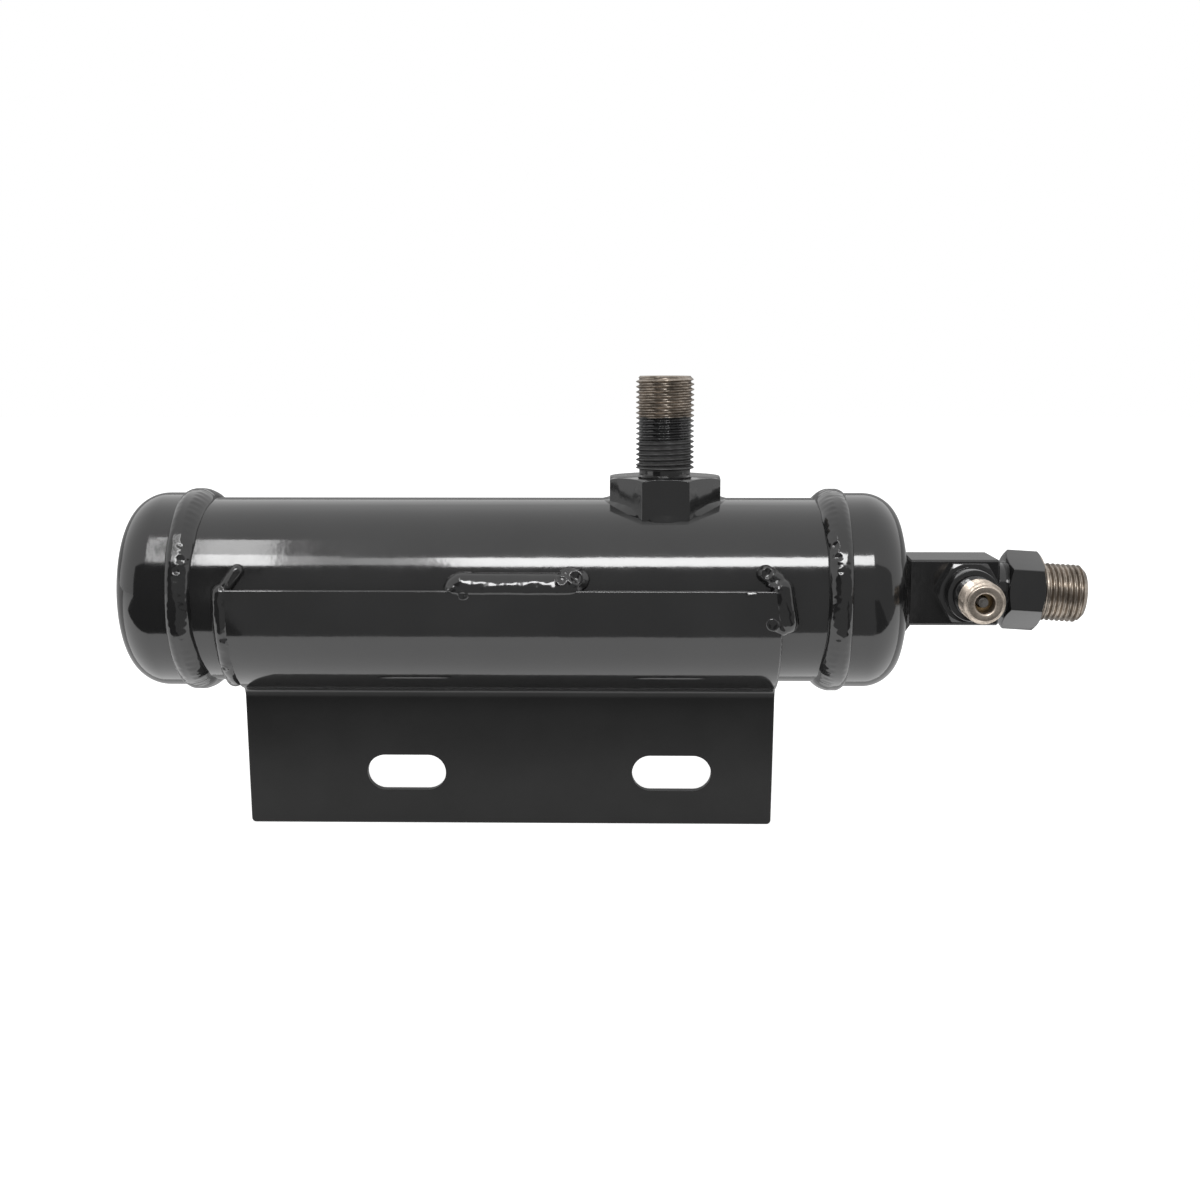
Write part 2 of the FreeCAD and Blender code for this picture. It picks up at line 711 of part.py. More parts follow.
def pickup_strainer():
    # A perforated cup over the foot of the pickup tube
    base = Vector(-pickup_bend_place, 0, -strainer_floor)
    up = Vector(0, 0, 1)
    cup = cylinder(strainer_radius, strainer_height, base, up)
    cup = cup.cut(cylinder(strainer_radius - strainer_wall, strainer_height - 2 * strainer_wall,
                           base + Vector(0, 0, strainer_wall), up))
    cup = cup.cut(cylinder(pickup_radius, strainer_height, base + Vector(0, 0, strainer_wall), up))
    spacing = (strainer_height - 2 * strainer_wall) / (strainer_hole_rows + 1)
    cutters = []
    for row in range(strainer_hole_rows):
        for index in range(strainer_hole_count):
            angle = math.radians(360.0 * (index + 0.5 * (row % 2)) / strainer_hole_count)
            outward = Vector(math.cos(angle), math.sin(angle), 0)
            middle = base + Vector(0, 0, strainer_wall + spacing * (row + 1))
            cutters.append(cylinder(strainer_hole_radius, 2 * strainer_radius, middle, outward))
    return cup.cut(Part.makeCompound(cutters))


def disc(left, thickness, radius):
    return ring(radius, bed_hole_radius, thickness, Vector(left, 0, 0), Vector(1, 0, 0))


def retainer_plate(left):
    plate = disc(left, plate_thickness, pad_radius)
    cutters = []
    for ring_radius, count in ((plate_inner_ring, plate_inner_count), (plate_outer_ring, plate_outer_count)):
        for index in range(count):
            angle = 2 * math.pi * index / count
            place = Vector(left, ring_radius * math.cos(angle), ring_radius * math.sin(angle))
            cutters.append(cylinder(plate_hole_radius, plate_thickness, place, Vector(1, 0, 0)))
    return plate.cut(Part.makeCompound(cutters))


def bed_stop_ring():
    left = -bed_left - pad_thickness - plate_thickness - stop_ring_thickness
    return ring(shell_bore_radius, shell_bore_radius - stop_ring_height, stop_ring_thickness,
                Vector(left, 0, 0), Vector(1, 0, 0))


def bed_spring():
    # It pushes the right plate against the bed from the inside of the right cap
    wire = bed_spring_wire_radius
    start = bed_right + pad_thickness + plate_thickness + wire + bed_spring_end_gap
    inner_crown = cap_crown_radius - cap_wall - wire - bed_spring_end_gap
    end = crown_centre + math.sqrt(inner_crown ** 2 - bed_spring_radius ** 2)
    pitch = (end - start) / bed_spring_turns
    return coil(bed_spring_radius, wire, pitch, end - start, Vector(start, 0, 0), Vector(1, 0, 0))


bracket = mounting_bracket()
save("shell_tube", shell_tube())
save("left_end_cap", mirrored(end_cap()))
save("right_end_cap", right_end_cap())
save("left_cap_weld", mirrored(cap_weld()))
save("right_cap_weld", cap_weld())
save("mounting_bracket", bracket)
save("bracket_weld_left", bracket_weld_left(bracket))
save("bracket_weld_centre", bracket_weld_centre(bracket))
save("bracket_weld_right", bracket_weld_right(bracket))
save("inlet_fitting", inlet_fitting())
save("inlet_weld", inlet_weld())
save("outlet_block", outlet_block())
save("block_weld", block_weld())
save("outlet_connector", outlet_connector())
save("connector_washer", connector_washer())
save("service_port_body", service_port_body())
save("port_seal", port_seal())
save("valve_core_body", valve_core_body())
save("valve_core_seal", valve_core_seal())
save("valve_pin", valve_pin())
save("valve_pin_seal", valve_pin_seal())
save("valve_spring", valve_spring())
save("pickup_tube", pickup_tube())
save("pickup_strainer", pickup_strainer())
save("left_retainer_plate", retainer_plate(-bed_left - pad_thickness - plate_thickness))
save("left_filter_pad", disc(-bed_left - pad_thickness, pad_thickness, pad_radius))
save("desiccant_bed", disc(-bed_left, bed_length, pad_radius))
save("right_filter_pad", disc(bed_right, pad_thickness, pad_radius))
save("right_retainer_plate", retainer_plate(bed_right + pad_thickness))
save("bed_spring", bed_spring())
save("bed_stop_ring", bed_stop_ring())
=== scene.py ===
import math

import bpy
import numpy as np
from mathutils import Matrix, Vector, noise


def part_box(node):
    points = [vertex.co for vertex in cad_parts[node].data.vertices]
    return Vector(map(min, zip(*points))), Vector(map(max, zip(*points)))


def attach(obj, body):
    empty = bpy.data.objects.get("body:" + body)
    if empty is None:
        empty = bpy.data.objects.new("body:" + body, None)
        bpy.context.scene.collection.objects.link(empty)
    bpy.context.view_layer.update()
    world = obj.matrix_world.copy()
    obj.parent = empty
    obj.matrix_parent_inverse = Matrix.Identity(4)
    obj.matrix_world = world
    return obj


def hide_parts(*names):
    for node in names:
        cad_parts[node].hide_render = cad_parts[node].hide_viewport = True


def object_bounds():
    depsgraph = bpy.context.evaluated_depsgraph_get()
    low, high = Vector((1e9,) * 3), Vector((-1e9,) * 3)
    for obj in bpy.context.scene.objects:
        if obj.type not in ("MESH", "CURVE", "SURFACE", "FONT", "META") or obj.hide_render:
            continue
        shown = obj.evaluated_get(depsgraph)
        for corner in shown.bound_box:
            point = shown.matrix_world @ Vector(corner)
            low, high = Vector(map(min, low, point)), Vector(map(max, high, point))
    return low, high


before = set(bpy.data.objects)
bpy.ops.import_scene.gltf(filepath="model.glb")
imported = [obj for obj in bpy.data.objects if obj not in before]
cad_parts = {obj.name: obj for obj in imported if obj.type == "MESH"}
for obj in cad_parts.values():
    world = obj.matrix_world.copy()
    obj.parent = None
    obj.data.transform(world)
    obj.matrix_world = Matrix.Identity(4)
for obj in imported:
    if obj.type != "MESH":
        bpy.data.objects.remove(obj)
cad_low, cad_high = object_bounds()

# Lengths are in metres, in the part's own frame: +X to the outlet, +Z up, -Y to the front.
MM = 0.001


def middle_of(node):
    low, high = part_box(node)
    return (low + high) / 2


# Sizes read from the frame
shell_low, shell_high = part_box("shell_tube")
vessel = middle_of("shell_tube")
shell_radius = (shell_high.z - shell_low.z) / 2
cap_low, cap_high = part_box("left_end_cap")
cap_radius = (cap_high.z - cap_low.z) / 2
cap_weld_low, cap_weld_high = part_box("left_cap_weld")
cap_weld_crest = (cap_weld_high.z - cap_weld_low.z) / 2
bracket_low, bracket_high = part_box("mounting_bracket")
saddle_radius = vessel.y - bracket_low.y
fitting_low, fitting_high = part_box("inlet_fitting")
stud_place = middle_of("inlet_fitting").x
collar_flats = fitting_high.x - fitting_low.x
inlet_weld_low, inlet_weld_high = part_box("inlet_weld")
block_low, block_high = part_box("outlet_block")
port_low, port_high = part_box("service_port_body")


# Shared mesh helpers

# Edges sharper than this many degrees stay sharp
CREASE = 32.0
WELD_CREASE = 60.0
# Where the extra angles lie round a polygon's corner, as shares of the spread
CORNER_SHARES = (-1, -0.6, -0.2, 0.2, 0.6, 1)
# A thread's depth as a share of its pitch, its crest and flank as shares of half a pitch, the share of the
# smooth step that is left off at its two ends, and the rings for each turn
THREAD_DEPTH = 0.6134
THREAD_CREST = 0.1
THREAD_FLANK = 0.68
THREAD_ROUND = 0.05
THREAD_SAMPLES = 12
# The slope that turns off a nut's corners, and the length over which its edges are softened
NUT_SLOPE = math.tan(math.radians(30))
NUT_SOFT = 0.12 * MM


def smooth_step(low, high, value):
    share = np.clip((np.asarray(value, float) - low) / (high - low), 0, 1)
    return share * share * (3 - 2 * share)


def add_piece(name, points, faces, material, replaces, body="drier", crease=CREASE):
    mesh = bpy.data.meshes.new(name)
    mesh.from_pydata([tuple(p) for p in points], [], faces)
    mesh.polygons.foreach_set("use_smooth", [True] * len(mesh.polygons))
    mesh.set_sharp_from_angle(angle=math.radians(crease))
    mesh.materials.append(material)
    piece = bpy.data.objects.new(name, mesh)
    bpy.context.scene.collection.objects.link(piece)
    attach(piece, body)
    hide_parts(replaces)


def grid_faces(rows, columns, wrap_rows, wrap_columns):
    faces = []
    for i in range(rows if wrap_rows else rows - 1):
        for j in range(columns if wrap_columns else columns - 1):
            a = i * columns + j
            b = i * columns + (j + 1) % columns
            c = (i + 1) % rows * columns + (j + 1) % columns
            d = (i + 1) % rows * columns + j
            faces.append((a, b, c, d))
    return faces


def turned(name, stations, angles, base, along, first, material, replaces):
    # Stations are (distance along, radius) for each angle; the last joins the first, as the bore does
    along = Vector(along).normalized()
    first = Vector(first).normalized()
    second = along.cross(first)
    cosines, sines = np.cos(angles), np.sin(angles)
    rows = []
    for distance, radius in stations:
        distance = np.broadcast_to(distance, angles.shape)
        radius = np.broadcast_to(radius, angles.shape)
        rows.append(np.array(base)[None] + distance[:, None] * np.array(along)[None]
                    + (radius * cosines)[:, None] * np.array(first)[None]
                    + (radius * sines)[:, None] * np.array(second)[None])
    faces = [face[::-1] for face in grid_faces(len(rows), len(angles), True, True)]
    add_piece(name, np.concatenate(rows), faces, material, replaces)


def corner_angles(sides, turn, count, spread):
    # Even angles, with more of them round each corner of the polygon
    angles = list(np.arange(count) * 2 * math.pi / count)
    for corner in range(sides):
        middle = turn + corner * 2 * math.pi / sides
        angles += [(middle + spread * share) % (2 * math.pi) for share in CORNER_SHARES]
    return np.array(sorted(set(np.round(angles, 9))))


def polygon_radius(angles, flats, sides, turn, rounding):
    # Distance from the axis to a polygon's side, with its corners rounded; turn is a corner's angle
    half = math.pi / sides
    reach = flats / 2
    away = np.abs((angles - turn + half) % (2 * half) - half)
    centre = (reach - rounding) / math.cos(half)
    limit = half - math.atan((reach - rounding) * math.tan(half) / reach)
    flat = reach / np.cos(half - away)
    inside = np.maximum(rounding ** 2 - (centre * np.sin(away)) ** 2, 0)
    return np.where(away < limit, centre * np.cos(away) + np.sqrt(inside), flat)


def thread_radius(distance, angles, radius, pitch, depth):
    # A right-hand thread of 60 degrees with a flat crest and a round root
    phase = (distance / pitch - angles / (2 * math.pi)) % 1.0
    slope = 1 - np.abs(2 * phase - 1)
    flank = np.clip((slope - THREAD_CREST) / THREAD_FLANK, 0, 1)
    return radius - depth * smooth_step(0.0, 1.0, flank * (1 - 2 * THREAD_ROUND) + THREAD_ROUND)


def thread_stations(start, end, angles, radius, pitch, chamfer, run_out):
    # The chamfer is at the end, and the thread fades out over the run-out at the start
    depth = THREAD_DEPTH * pitch
    count = int(round((end - start) / pitch * THREAD_SAMPLES))
    stations = []
    for index in range(count + 1):
        distance = start + (end - start) * index / count
        fade = smooth_step(start, start + run_out, distance)
        cut = thread_radius(distance, angles, radius, pitch, depth * fade)
        lead = radius - max(0.0, distance - (end - chamfer))
        stations.append((distance, np.minimum(cut, lead)))
    return stations


def nut_stations(start, end, angles, flats, sides, turn, inner_start, inner_end, chamfer, rounding):
    # A nut's body between two radii, with its corners turned off at a slope at both ends; the shares of
    # the soft length spread each edge over three rings
    side = polygon_radius(angles, flats, sides, turn, rounding)
    corner = flats / 2 / math.cos(math.pi / sides)
    face_start = corner - chamfer[0] / NUT_SLOPE
    face_end = corner - chamfer[1] / NUT_SLOPE
    rise_start = np.maximum(side - face_start, 0) * NUT_SLOPE
    rise_end = np.maximum(side - face_end, 0) * NUT_SLOPE
    return [
        (start, inner_start),
        (start, np.minimum(side, face_start) - NUT_SOFT),
        (start + NUT_SOFT * 0.4, np.minimum(side, face_start)),
        (start + np.maximum(rise_start, NUT_SOFT * 0.8), side - 0.15 * NUT_SOFT),
        (start + rise_start + NUT_SOFT * 1.6, side),
        (end - rise_end - NUT_SOFT * 1.6, side),
        (end - np.maximum(rise_end, NUT_SOFT * 0.8), side - 0.15 * NUT_SOFT),
        (end - NUT_SOFT * 0.4, np.minimum(side, face_end)),
        (end, np.minimum(side, face_end) - NUT_SOFT),
        (end, inner_end),
    ]


# Material helpers

def blank_material(name):
    material = bpy.data.materials.new(name)
    material.use_nodes = True
    material.node_tree.nodes.clear()
    return material


def add_node(tree, kind, inputs=None, **settings):
    # Each input is a constant, or a socket to link from
    node = tree.nodes.new(kind)
    for key, value in settings.items():
        setattr(node, key, value)
    for key, value in (inputs or {}).items():
        if isinstance(value, bpy.types.NodeSocket):
            tree.links.new(value, node.inputs[key])
        else:
            node.inputs[key].default_value = value
    return node


class Nodes:
    # A material with short names for the shader nodes that are used most

    def __init__(self, name):
        self.material = blank_material(name)
        self.tree = self.material.node_tree
        self.out = self.add("ShaderNodeOutputMaterial")
        self.place = self.add("ShaderNodeTexCoord").outputs["Object"]

    def add(self, kind, inputs=None, **settings):
        return add_node(self.tree, kind, inputs, **settings)

    def noise(self, scale, detail, rough=0.5):
        inputs = {"Vector": self.place, "Scale": scale, "Detail": detail, "Roughness": rough}
        return self.add("ShaderNodeTexNoise", inputs).outputs["Fac"]

    def ramp(self, value, stops):
        node = self.add("ShaderNodeValToRGB", {"Fac": value})
        points = node.color_ramp.elements
        while len(points) < len(stops):
            points.new(0.5)
        for point, (where, colour) in zip(points, stops):
            point.position = where
            point.color = (*colour, 1)
        return node.outputs["Color"]

    def grey_ramp(self, value, stops):
        return self.ramp(value, [(where, (level, level, level)) for where, level in stops])

    def math(self, first, kind, second):
        return self.add("ShaderNodeMath", {0: first, 1: second}, operation=kind).outputs[0]

    def bump(self, height, distance, normal=None):
        inputs = {"Height": height, "Distance": distance, "Strength": 1.0}
        if normal is not None:
            inputs["Normal"] = normal
        return self.add("ShaderNodeBump", inputs).outputs["Normal"]

    def soft_edges(self, radius):
        return self.add("ShaderNodeBevel", {"Radius": radius}, samples=BEVEL_SAMPLES).outputs["Normal"]

    def shader(self, inputs):
        return self.add("ShaderNodeBsdfPrincipled", inputs).outputs["BSDF"]

    def step(self, value, where, width):
        inputs = {"Value": value, "From Min": where - width / 2, "From Max": where + width / 2}
        return self.add("ShaderNodeMapRange", inputs, clamp=True).outputs[0]

    def mix(self, share, first, second):
        return self.add("ShaderNodeMixShader", {0: share, 1: first, 2: second}).outputs[0]

    def finish(self, shader):
        self.tree.links.new(shader, self.out.inputs["Surface"])
        return self.material


# Colours, dullness and relief of each material. A pattern is (patches for each metre, detail, roughness).
BEVEL_SAMPLES = 6
EDGE_ROUND = 0.35 * MM
THREAD_EDGE_ROUND = 0.15 * MM

ENAMEL_DARK = (0.0085, 0.0085, 0.0087)
ENAMEL_LIGHT = (0.0125, 0.0125, 0.0127)
ENAMEL_DULL = (0.09, 0.14)
COAT_WEIGHT = 0.5
COAT_DULL = 0.055
WAVE_DEPTH = 0.05 * MM
PEEL_DEPTH = 0.008 * MM
ENAMEL_TONES = (38.0, 3.0)
ENAMEL_DUST = (210.0, 4.0, 0.6)
ENAMEL_PEEL = (640.0, 1.5, 0.45)
ENAMEL_WAVES = (75.0, 1.0)

SATIN_DARK = (0.012, 0.012, 0.012)
SATIN_LIGHT = (0.0155, 0.0155, 0.0155)
SATIN_DULL = 0.3
SATIN_SHINE = 0.22
SATIN_TONES = (60.0, 4.0)
SATIN_GRAIN = (700.0, 2.0)
FOLD_HEIGHT = 23.0 * MM
FOLD_BLEND = 0.6 * MM

MATTE_DARK = (0.03, 0.03, 0.03)
MATTE_LIGHT = (0.058, 0.058, 0.058)
MATTE_DULL = 0.42
MATTE_TONES = (300.0, 3.0)
MATTE_GRAIN = (1500.0, 2.0)

WARM_STEEL = (0.36, 0.315, 0.27)
DARK_STEEL = (0.14, 0.12, 0.10)
STEEL_LIFT = 1.35
STEEL_DULL = (0.46, 0.27)
STEEL_STAIN = (260.0, 5.0, 0.65)
STEEL_FINE = (2600.0, 3.0, 0.6)
STAIN_SHARE = 0.7
FINE_SHARE = 0.3
STEEL_GRAIN = 0.012 * MM
FINE_GRAIN = 0.01 * MM
METAL_SHADE = 0.7
SOFT_SHADE = 0.75

# The masking line's wander, and the widths over which bare steel and overspray begin and end
MASK_PATTERN = (260.0, 3.0)
MASK_WANDER = 1.0 * MM
BARE_BLEND = 0.3 * MM
MATTE_BLEND = (0.4 * MM, 0.5 * MM)
# How much stronger the paint's relief is on the fittings and on the welds
FITTING_PEEL = 1.2
WELD_PEEL = 1.6

BEADS_PER_METRE = 520.0
BEAD_COLOUR = (0.82, 0.76, 0.66)
# The darker colour between the beads is painted shade in the gaps where they meet
BEAD_GAP_SHADE_COLOUR = (0.42, 0.36, 0.28)
BEAD_DULL = 0.75
BEAD_DEPTH = 0.5 * MM


def enamel_shader(nodes, peel=1.0, edge=EDGE_ROUND):
    # Sprayed gloss enamel: orange peel, slow waves, a little dust, softened edges
    colour = nodes.ramp(nodes.noise(*ENAMEL_TONES), [(0.35, ENAMEL_DARK), (0.7, ENAMEL_LIGHT)])
    dust = nodes.noise(*ENAMEL_DUST)
    dull = nodes.grey_ramp(dust, [(0.35, ENAMEL_DULL[0]), (0.75, ENAMEL_DULL[1])])
    peel_height = nodes.noise(*ENAMEL_PEEL)
    wave_height = nodes.noise(*ENAMEL_WAVES)
    normal = nodes.soft_edges(edge)
    normal = nodes.bump(wave_height, WAVE_DEPTH * peel, normal)
    normal = nodes.bump(peel_height, PEEL_DEPTH * peel, normal)
    return nodes.shader({"Base Color": colour, "Roughness": dull, "Coat Weight": COAT_WEIGHT,
                         "Coat Roughness": COAT_DULL, "Normal": normal, "Coat Normal": normal})


def enamel(name, peel=1.0):
    nodes = Nodes(name)
    return nodes.finish(enamel_shader(nodes, peel))


def satin_shader(nodes):
    # The plate carries one thin, duller coat
    colour = nodes.ramp(nodes.noise(*SATIN_TONES), [(0.3, SATIN_DARK), (0.7, SATIN_LIGHT)])
    normal = nodes.bump(nodes.noise(*SATIN_GRAIN), FINE_GRAIN, nodes.soft_edges(EDGE_ROUND))
    return nodes.shader({"Base Color": colour, "Roughness": SATIN_DULL, "Specular IOR Level": SATIN_SHINE,
                         "Normal": normal})


def bracket_enamel(name):
    # Gloss on the saddle, and satin below the fold
    nodes = Nodes(name)
    height = nodes.add("ShaderNodeSeparateXYZ", {"Vector": nodes.place}).outputs["Z"]
    gloss = nodes.step(height, FOLD_HEIGHT, FOLD_BLEND)
    return nodes.finish(nodes.mix(gloss, satin_shader(nodes), enamel_shader(nodes)))


def matte_paint_shader(nodes):
    # Thin overspray on the threads below the masked end
    colour = nodes.ramp(nodes.noise(*MATTE_TONES), [(0.3, MATTE_DARK), (0.75, MATTE_LIGHT)])
    normal = nodes.bump(nodes.noise(*MATTE_GRAIN), FINE_GRAIN)
    return nodes.shader({"Base Color": colour, "Roughness": MATTE_DULL, "Normal": normal})


def scaled(colour, factor):
    return tuple(c * factor for c in colour)


def bare_steel_shader(nodes, bright):
    # Turned steel with a light brown stain in patches
    stain, fine = nodes.noise(*STEEL_STAIN), nodes.noise(*STEEL_FINE)
    patches = nodes.math(nodes.math(stain, "MULTIPLY", STAIN_SHARE), "ADD",
                         nodes.math(fine, "MULTIPLY", FINE_SHARE))
    warm = scaled(WARM_STEEL, bright)
    stops = [(0.33, scaled(DARK_STEEL, bright)), (0.52, warm), (0.68, scaled(warm, STEEL_LIFT))]
    dull = nodes.grey_ramp(patches, [(0.3, STEEL_DULL[0]), (0.7, STEEL_DULL[1])])
    return nodes.shader({"Base Color": nodes.ramp(patches, stops), "Metallic": 1.0, "Roughness": dull,
                         "Normal": nodes.bump(fine, STEEL_GRAIN)})


def distance_along(nodes, base, along):
    offset = nodes.add("ShaderNodeVectorMath", {0: nodes.place, 1: tuple(base)}, operation="SUBTRACT")
    inputs = {0: offset.outputs[0], 1: tuple(along)}
    return nodes.add("ShaderNodeVectorMath", inputs, operation="DOT_PRODUCT").outputs["Value"]


def masked_fitting(name, base, along, bare_from, matte_span=None, bright=1.0):
    # Painted up to a wandering masking line, then bare; the threads below it can hold matte overspray
    nodes = Nodes(name)
    reach = distance_along(nodes, base, along)
    wander = nodes.math(nodes.math(nodes.noise(*MASK_PATTERN), "SUBTRACT", 0.5), "MULTIPLY", MASK_WANDER)
    reach = nodes.math(reach, "ADD", wander)
    painted = enamel_shader(nodes, FITTING_PEEL, THREAD_EDGE_ROUND)
    if matte_span:
        below = nodes.math(1.0, "SUBTRACT", nodes.step(reach, matte_span[1], MATTE_BLEND[1]))
        inside = nodes.math(nodes.step(reach, matte_span[0], MATTE_BLEND[0]), "MULTIPLY", below)
        painted = nodes.mix(inside, painted, matte_paint_shader(nodes))
    bare = bare_steel_shader(nodes, bright)
    return nodes.finish(nodes.mix(nodes.step(reach, bare_from, BARE_BLEND), painted, bare))


def plain_metal(name, colour, rough, grain, scale):
    nodes = Nodes(name)
    tone = nodes.ramp(nodes.noise(scale, 4.0), [(0.3, scaled(colour, METAL_SHADE)), (0.7, colour)])
    normal = nodes.bump(nodes.noise(scale * 8, 2.0), grain)
    return nodes.finish(nodes.shader({"Base Color": tone, "Metallic": 1.0, "Roughness": rough,
                                      "Normal": normal}))


def plain_soft(name, colour, rough, grain, scale):
    nodes = Nodes(name)
    tone = nodes.ramp(nodes.noise(scale, 4.0), [(0.3, scaled(colour, SOFT_SHADE)), (0.7, colour)])
    normal = nodes.bump(nodes.noise(scale * 2, 4.0), grain)
    return nodes.finish(nodes.shader({"Base Color": tone, "Roughness": rough, "Normal": normal}))


def bead_bed(name):
    nodes = Nodes(name)
    cells = nodes.add("ShaderNodeTexVoronoi", {"Vector": nodes.place, "Scale": BEADS_PER_METRE})
    away = cells.outputs["Distance"]
    # Darker towards the gaps between the beads: painted shade, not the beads' own colour
    tone = nodes.ramp(away, [(0.0, BEAD_COLOUR), (0.8, BEAD_GAP_SHADE_COLOUR)])
    normal = nodes.bump(nodes.math(1.0, "SUBTRACT", away), BEAD_DEPTH)
    return nodes.finish(nodes.shader({"Base Color": tone, "Roughness": BEAD_DULL, "Normal": normal}))


# The camera, at the photograph's viewing angle

CAMERA_PLACE = Vector((25.948, -431.931, 114.675)) * MM
CAMERA_YAW = math.radians(-1.178)
CAMERA_PITCH = math.radians(8.711)
CAMERA_ROLL = math.radians(-0.046)
CAMERA_LENS = 47.512
SENSOR_WIDTH = 36.0
CAMERA_CLIP = (0.01, 20.0)


def make_camera():
    data = bpy.data.cameras.new("camera")
    data.sensor_width = SENSOR_WIDTH
    data.lens = CAMERA_LENS
    data.clip_start, data.clip_end = CAMERA_CLIP
    camera = bpy.data.objects.new("camera", data)
    turn = Matrix.Rotation(-CAMERA_YAW, 4, "Z") @ Matrix.Rotation(math.pi / 2 - CAMERA_PITCH, 4, "X")
    camera.matrix_world = Matrix.Translation(CAMERA_PLACE) @ turn @ Matrix.Rotation(CAMERA_ROLL, 4, "Z")
    bpy.context.scene.collection.objects.link(camera)
    bpy.context.scene.camera = camera


# The studio

# The strength of the room's light, and the floor's own colour and glow
WHITE = (1, 1, 1, 1)
ROOM_LIGHT = 0.75
FLOOR_REACH = 3.0
FLOOR_GAP = 0.02 * MM
FLOOR_COLOUR = (0.8, 0.8, 0.8, 1)
FLOOR_GLOW = 0.65


def lit_by(tree, kinds):
    # One for rays of these kinds, zero for all others
    path = add_node(tree, "ShaderNodeLightPath")
    value = path.outputs[kinds[0]]
    for kind in kinds[1:]:
        inputs = {0: value, 1: path.outputs[kind]}
        value = add_node(tree, "ShaderNodeMath", inputs, operation="MAXIMUM").outputs[0]
    return value


def make_world():
    # White where it is seen, and dimmer as a light
    world = bpy.data.worlds.new("studio")
    bpy.context.scene.world = world
    world.use_nodes = True
    tree = world.node_tree
    tree.nodes.clear()
    room = add_node(tree, "ShaderNodeBackground", {"Color": WHITE, "Strength": ROOM_LIGHT})
    white = add_node(tree, "ShaderNodeBackground", {"Color": WHITE, "Strength": 1.0})
    seen = lit_by(tree, ("Is Camera Ray", "Is Glossy Ray", "Is Transmission Ray"))
    mix = add_node(tree, "ShaderNodeMixShader", {0: seen, 1: room.outputs[0], 2: white.outputs[0]})
    add_node(tree, "ShaderNodeOutputWorld", {"Surface": mix.outputs[0]})


def stage_plane(name, corners, material):
    mesh = bpy.data.meshes.new(name)
    mesh.from_pydata([tuple(c) for c in corners], [], [tuple(range(len(corners)))])
    mesh.materials.append(material)
    plane = bpy.data.objects.new(name, mesh)
    bpy.context.scene.collection.objects.link(plane)
    return plane


def make_floor():
    # The glow lifts the floor to white for the camera and for reflections, and keeps the object's shadow
    material = blank_material("pale_floor")
    tree = material.node_tree
    diffuse = add_node(tree, "ShaderNodeBsdfDiffuse", {"Color": FLOOR_COLOUR}).outputs[0]
    glow = add_node(tree, "ShaderNodeEmission", {"Strength": FLOOR_GLOW}).outputs[0]
    both = add_node(tree, "ShaderNodeAddShader", {0: diffuse, 1: glow}).outputs[0]
    seen = lit_by(tree, ("Is Camera Ray", "Is Glossy Ray"))
    mix = add_node(tree, "ShaderNodeMixShader", {0: seen, 1: diffuse, 2: both})
    add_node(tree, "ShaderNodeOutputMaterial", {"Surface": mix.outputs[0]})
    z = cad_low.z - FLOOR_GAP
    corners = [(x * FLOOR_REACH, y * FLOOR_REACH, z) for x, y in ((-1, -1), (1, -1), (1, 1), (-1, 1))]
    stage_plane("floor", corners, material)


def emission(name, level):
    material = blank_material(name)
    tree = material.node_tree
    glow = add_node(tree, "ShaderNodeEmission", {"Color": (level, level, level, 1)})
    add_node(tree, "ShaderNodeOutputMaterial", {"Surface": glow.outputs[0]})
    return material


def card(name, near, far, near_place, far_place, level):
    # A card that only reflections see, from its near edge to its far edge, each an x span at a (y, z)
    corners = [(near[0], *near_place), (near[1], *near_place), (far[1], *far_place), (far[0], *far_place)]
    piece = stage_plane(name, corners, emission(name, level))
    piece.visible_camera = False
    piece.visible_diffuse = False
    piece.visible_transmission = False
    piece.visible_shadow = False


def panel(name, x_span, elevations, glow, tilt):
    # A lamp that faces the vessel, between two angles above the level in front of it
    middle = math.radians(sum(elevations) / 2)
    height = 2 * LAMP_DISTANCE * math.tan(math.radians(elevations[1] - elevations[0]) / 2)
    width = x_span[1] - x_span[0]
    data = bpy.data.lights.new(name, "AREA")
    data.shape = "RECTANGLE"
    data.size = width
    data.size_y = height
    data.energy = math.pi * width * height * glow
    light = bpy.data.objects.new(name, data)
    place = Vector((sum(x_span) / 2, vessel.y - LAMP_DISTANCE * math.cos(middle),
                    vessel.z + LAMP_DISTANCE * math.sin(middle)))
    face = Matrix.Rotation(math.pi / 2 - middle, 4, "X")
    light.matrix_world = Matrix.Translation(place) @ face @ Matrix.Rotation(math.radians(tilt), 4, "Z")
    bpy.context.scene.collection.objects.link(light)


LAMP_DISTANCE = 0.9
# Each lamp: its x span, its lower and upper angle in degrees, its brightness and its tilt in degrees
LAMPS = {
    "strip_lamp": ((-0.13, 0.24), (35.8, 47.0), 14.0, 4.0),
    "strip_tail": ((-0.21, -0.13), (37.0, 46.0), 2.8, 0.0),
    "side_low": ((-0.337, -0.265), (36.0, 50.0), 13.0, 0.0),
    "side_high": ((-0.337, -0.265), (50.0, 70.0), 6.3, 0.0),
    "side_edge": ((-0.265, -0.215), (37.0, 48.0), 2.5, 0.0),
    "cap_bar": ((-0.368, -0.362), (39.0, 70.0), 15.0, 0.0),
}

# The dark table and wall before the vessel are fans of cards: their x edges near it and far off, and the
# level of each card between two edges
TABLE_FRONT = -0.075
ROOM_FRONT = -0.95
TABLE_EDGES = (-0.35, -0.095, 0.115, 0.19, 2.2)
ROOM_EDGES = (-1.3, -0.335, 0.27, 0.45, 2.2)
TABLE_LEVELS = (0.05, 0.33, 0.08, 0.33)
WALL_LEVELS = (0.05, 0.33, 0.33, 0.33)
FRONT_TOP = math.radians(38.0)
